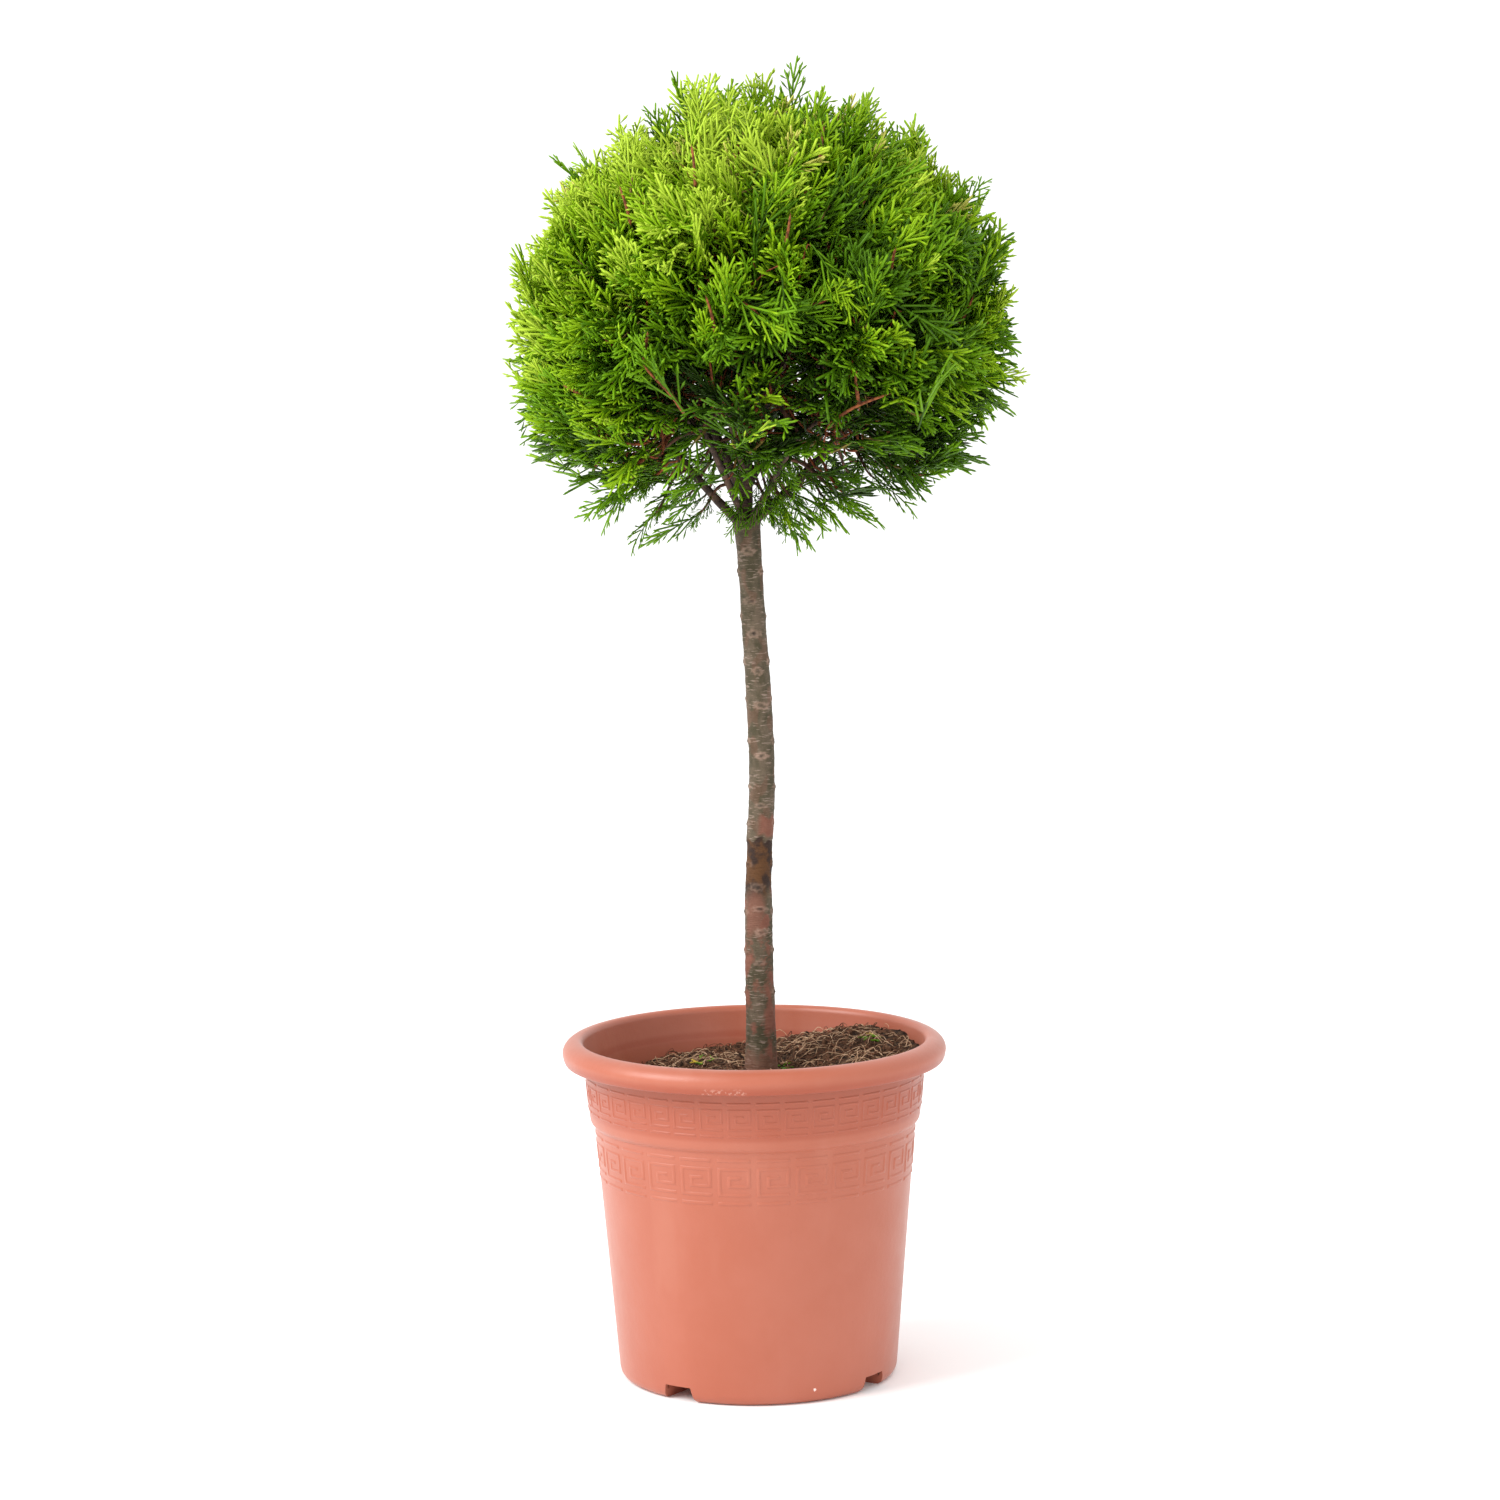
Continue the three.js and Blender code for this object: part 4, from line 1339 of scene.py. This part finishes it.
        along = unit(np.gradient(path, axis=1))
        for step, hand in ((9, 1), (7, -1), (5, 1)):
            sideways = np.cross(UP, along[:, step]) * hand
            way = unit(along[:, step] + 0.75 * sideways + rng.normal(0, 0.12, (n, 3)))
            length = rng.uniform(0.3, 0.46, n)
            where = path[:, step] + way * (length * SPRAY_LENGTH)[:, None]
            self.hanging.add(where, way, face, length, rng.normal(-0.08, 0.05, n), tone - 0.2)
        return tubes(path, np.linspace(1.5, 0.8, DROOP_STATIONS)[None] * np.ones((n, 1)), 5)

    def fork_tuft(self):
        """A few short sprays that grow over the fork."""
        rng, n = self.rng, FORK_TUFT
        turn = rng.uniform(-0.75, 0.75, n)
        root = np.stack([rng.normal(0, 4, n), rng.normal(-13, 2, n), rng.uniform(684, 700, n)], 1)
        forward = rng.uniform(-0.5, -0.15, n)
        way = unit(np.stack([np.sin(turn), forward, -np.cos(turn) * rng.uniform(0.5, 1, n)], 1))
        size = rng.uniform(0.38, 0.6, n)
        tip = root + way * (size * SPRAY_LENGTH)[:, None]
        face = np.tile(FRONT, (n, 1))
        self.hanging.add(tip, way, face, size, rng.normal(-0.1, 0.05, n), rng.normal(2.2, 0.4, n))

    def stray(self):
        """Long shoots that stand out of the clipped line."""
        rng = self.rng
        loose = spread_ways(LOOSE_STRAYS, rng, 0.2)
        loose = loose[loose[:, 2] > -0.45]
        past = CROWN + loose * (self.outline(loose) + rng.uniform(3, 7, len(loose)))[:, None]
        tips = np.concatenate([np.array(STRAYS), past])
        n = len(tips)
        outward = unit(tips - CROWN)
        # The first stray keeps level, so that it doesn't rise out of its place.
        rise = UP * 0.35 * (np.arange(n) != 0)[:, None]
        way = unit(outward + rise + rng.normal(0, 0.08, (n, 3)))
        face, size = rng.normal(0, 1, (n, 3)), rng.uniform(0.62, 0.85, n)
        self.sprays.add(tips, way, face, size, rng.normal(0, 0.05, n), rng.normal(2.6, 0.4, n))
        self.feet.append(tips - way * 45)
        self.tufts_of.append((outward @ self.tuft_way.T).argmax(1))

    def build_branches(self, drooping):
        """One branch from the nearest limb to each tuft."""
        gap = self.tuft_end[:, None] - self.limb_points[None]
        distance = np.linalg.norm(gap, axis=2)
        forward = (unit(gap) * self.limb_ways[None]).sum(2)
        parent = (distance * (1 + 0.9 * smooth(0.55, -0.3, forward))).argmin(1)
        every = np.arange(TUFTS)
        start_way = unit(self.limb_ways[parent] + 0.9 * unit(gap[every, parent]))
        branch = curves(
            self.limb_points[parent], start_way, self.tuft_end, self.tuft_growth, BRANCH_STATIONS
        )
        sway = np.sin(np.linspace(0, math.pi, BRANCH_STATIONS))[None, :, None]
        branch += self.rng.normal(0, 0.5, branch.shape) * sway
        off_fork = np.hypot(self.tuft_end[:, 0] - FORK_X, self.tuft_end[:, 2] - 700)
        self.branch, self.clear = branch, off_fork > FORK_CLEARANCE
        taper = np.linspace(1.15, 0.62, BRANCH_STATIONS)[None]
        thick = (1.25 + 0.009 * distance[every, parent])[:, None] * taper
        made = merged([tubes(branch[self.clear], thick[self.clear], 7), drooping])
        bark = grained("branch_bark", srgb(50, 32, 24), srgb(98, 66, 48), 240.0, 0.8, 0.25, 0.0003)
        show(arrays_object("branches", *made, bark), "twig_bark", "leader")

    def twig_targets(self):
        """Where the twigs of each tuft aim: just behind some of its sprays."""
        target = []
        for tuft in range(TUFTS):
            own = np.flatnonzero(self.tufts_of == tuft)
            for k in range(TWIGS_EACH):
                if len(own):
                    spray = own[(k * len(own)) // TWIGS_EACH]
                    target.append(self.feet[spray] - 6 * self.ways[spray])
                else:
                    target.append(self.tuft_end[tuft])
        return np.array(target)

    def bare_twigs(self):
        """The twigs of BARE_TWIGS, laid just under the front of the outline."""
        bare = np.array(BARE_TWIGS, float)
        ends = []
        for column, depth in BARE_DEPTHS:
            x, z = bare[:, column] - CROWN[0], bare[:, column + 1] - CROWN[2]
            offset = np.stack([x, np.full(len(bare), -150.0), z], 1)
            for _ in range(6):
                reach = self.outline(unit(offset)) - depth
                offset[:, 1] = -np.sqrt((reach**2 - offset[:, 0] ** 2 - offset[:, 2] ** 2).clip(400, None))
            ends.append(CROWN + offset)
        span = unit(ends[1] - ends[0])
        end_way = unit(span - UP * 0.1 + self.rng.normal(0, 0.15, span.shape))
        path = curves(ends[0], unit(span + UP * 0.5), ends[1], end_way, TWIG_STATIONS)
        return tubes(path, np.linspace(1.6, 0.9, TWIG_STATIONS)[None] * np.ones((len(bare), 1)), 6)

    def build_twigs(self):
        """Several twigs from each branch."""
        rng = self.rng
        tuft = np.repeat(np.arange(TUFTS), TWIGS_EACH)
        last = BRANCH_STATIONS - 1
        station = np.rint(rng.uniform(0.45, 1.0, len(tuft)) * last).astype(int).clip(0, last)
        start = self.branch[tuft, station]
        target = self.twig_targets()
        span = target - start
        reach = np.linalg.norm(span, axis=1, keepdims=True)
        target = start + span * np.minimum(1, TWIG_REACH / np.maximum(reach, 1e-6))
        out = target - CROWN
        held = np.minimum(1, (self.outline(unit(out)) - TWIG_DEPTH) / np.linalg.norm(out, axis=1))
        target = CROWN + out * held[:, None]
        end_way = unit(self.tuft_growth[tuft] + 0.6 * unit(span))
        branch_way = unit(np.gradient(self.branch, axis=1))[tuft, station]
        twig = curves(start, unit(branch_way + unit(span)), target, end_way, TWIG_STATIONS)
        self.twig = twig
        taper = np.linspace(1.1, 0.6, TWIG_STATIONS)[None]
        thick = taper * rng.uniform(0.85, 1.25, (len(twig), 1))
        clear = self.clear[tuft]
        made = merged([tubes(twig[clear], thick[clear], 5), self.bare_twigs()])
        brown = grained("twig_brown", srgb(92, 48, 28), srgb(150, 86, 48), 300.0, 0.75, 0.25, 0.0002)
        show(arrays_object("twigs", *made, brown), "twig_bark", "leader")

    def build_stalks(self):
        """A stalk from the nearest twig of its tuft to every spray."""
        rng, feet = self.rng, self.feet
        starts, start_ways = [], []
        for foot, tuft in zip(feet, self.tufts_of):
            own = self.twig[tuft * TWIGS_EACH : (tuft + 1) * TWIGS_EACH]
            near = own[:, TWIG_FROM:].reshape(-1, 3)
            k = np.linalg.norm(near - foot, axis=1).argmin()
            gap = near[k] - foot
            starts.append(foot + gap * min(1, STALK_REACH / max(np.linalg.norm(gap), 1e-6)))
            row, place = divmod(int(k), TWIG_STATIONS - TWIG_FROM)
            place += TWIG_FROM
            start_ways.append(unit(own[row][min(place + 1, TWIG_STATIONS - 1)] - own[row][place - 1]))
        woody = rng.uniform(0, 1, (len(feet), 1)) < WOODY_SHARE
        reach = np.where(woody, rng.uniform(16, 34, (len(feet), 1)), 3.0)
        end = feet + reach * self.ways
        stalk = curves(np.array(starts), np.array(start_ways), end, self.ways, STALK_STATIONS)
        thick = np.linspace(0.85, 0.8, STALK_STATIONS)[None] * np.where(woody, 1.5, 1.0)
        young = rng.uniform(0, 1, len(stalk)) < YOUNG_SHARE
        for name, own, dark, light in (
            ("tan", young, srgb(96, 80, 32), srgb(136, 118, 56)),
            ("russet", ~young, srgb(96, 48, 26), srgb(146, 76, 42)),
        ):
            points, triangles = tubes(stalk[own], thick[own], 3)
            finish = grained(f"stalk_{name}", dark, light, 260.0, 0.7, 0.25, 0.0001)
            show(arrays_object(f"stalks_{name}", points, triangles, finish), "twig_bark", "leader")

    def build(self):
        for layer in LAYERS:
            self.dress(*layer)
        drooping = self.hang()
        self.fork_tuft()
        self.stray()
        self.feet, self.tufts_of = np.concatenate(self.feet), np.concatenate(self.tufts_of)
        self.ways = np.concatenate([row[1] for row in self.sprays.rows])
        self.build_branches(drooping)
        self.build_twigs()
        self.build_stalks()
        self.sprays.rows += self.hanging.rows
        self.sprays.build(self.rng, [spray_template(self.rng) for _ in range(TEMPLATES)])


# ---- Camera, light and floor ----
CAMERA_AT = (0, -3.2, 0.8687)
CAMERA_LENS = 99.65
CAMERA_DOWN, CAMERA_ROLL = 6.70, -0.82  # degrees
DAYLIGHT = 1.2


def build_stage():
    scene = bpy.context.scene
    data = bpy.data.cameras.new("camera")
    data.lens, data.sensor_width = CAMERA_LENS, 36.0
    data.clip_start, data.clip_end = 0.1, 60
    camera = bpy.data.objects.new("camera", data)
    bpy.context.collection.objects.link(camera)
    camera.location = CAMERA_AT
    pitch = Euler((math.radians(90 - CAMERA_DOWN), 0, 0)).to_matrix()
    camera.rotation_euler = (pitch @ Matrix.Rotation(math.radians(CAMERA_ROLL), 3, "Z")).to_euler()
    scene.camera = camera

    bm = bmesh.new()
    bmesh.ops.create_grid(bm, x_segments=8, y_segments=8, size=12000)
    floor = bmesh_object("floor", bm, Finish("floor_white", (0.99, 0.99, 0.99, 1), 0.9, 0.1).material)
    bpy.context.collection.objects.link(floor)

    world = bpy.data.worlds.new("studio")
    world.use_nodes = True
    sky = world.node_tree.nodes["Background"]
    sky.inputs["Color"].default_value = (1.0, 1.0, 1.0, 1)
    sky.inputs["Strength"].default_value = DAYLIGHT
    scene.world = world

    def lamp(name, place, aim, size, power):
        light = bpy.data.lights.new(name, "AREA")
        light.size, light.energy = size, power
        obj = bpy.data.objects.new(name, light)
        bpy.context.collection.objects.link(obj)
        obj.location = place
        obj.rotation_mode = "QUATERNION"
        obj.rotation_quaternion = (Vector(aim) - Vector(place)).to_track_quat("-Z", "Y")

    lamp("key", (-3.0, -1.4, 2.9), (0, 0, 0.6), 2.3, 160)
    lamp("fill", (2.2, -2.6, 1.4), (0, 0, 0.5), 2.2, 10)
    scene.view_settings.view_transform = "Standard"


LEADER_GIRTH, BOUGH_GIRTH = 0.78, 0.84  # share of the frame's girth


def limb_runs():
    """Stations of the leader and of each bough, which runs on into its own mass."""
    runs = {"leader": limb_run("leader")}
    runs["leader"][:, 3] *= LEADER_GIRTH
    for name in BOUGHS:
        low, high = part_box(name.replace("bough_", "foliage_"))
        middle = (np.array(low) + np.array(high)) / 2 / MM
        runs[name] = limb_run(name, CROWN + (middle - CROWN) * 0.9)
        runs[name][:, 3] *= BOUGH_GIRTH
    return runs


def build_plant():
    plastic = pot_plastic()
    build_pot(plastic)
    for band in KEY_BANDS:
        key_band(*band, plastic)
    build_compost(np.random.default_rng(11))
    runs = limb_runs()
    build_wood(np.random.default_rng(5), stem_run(), runs)
    Crown(np.random.default_rng(21), runs).build()


build_stage()
build_plant()
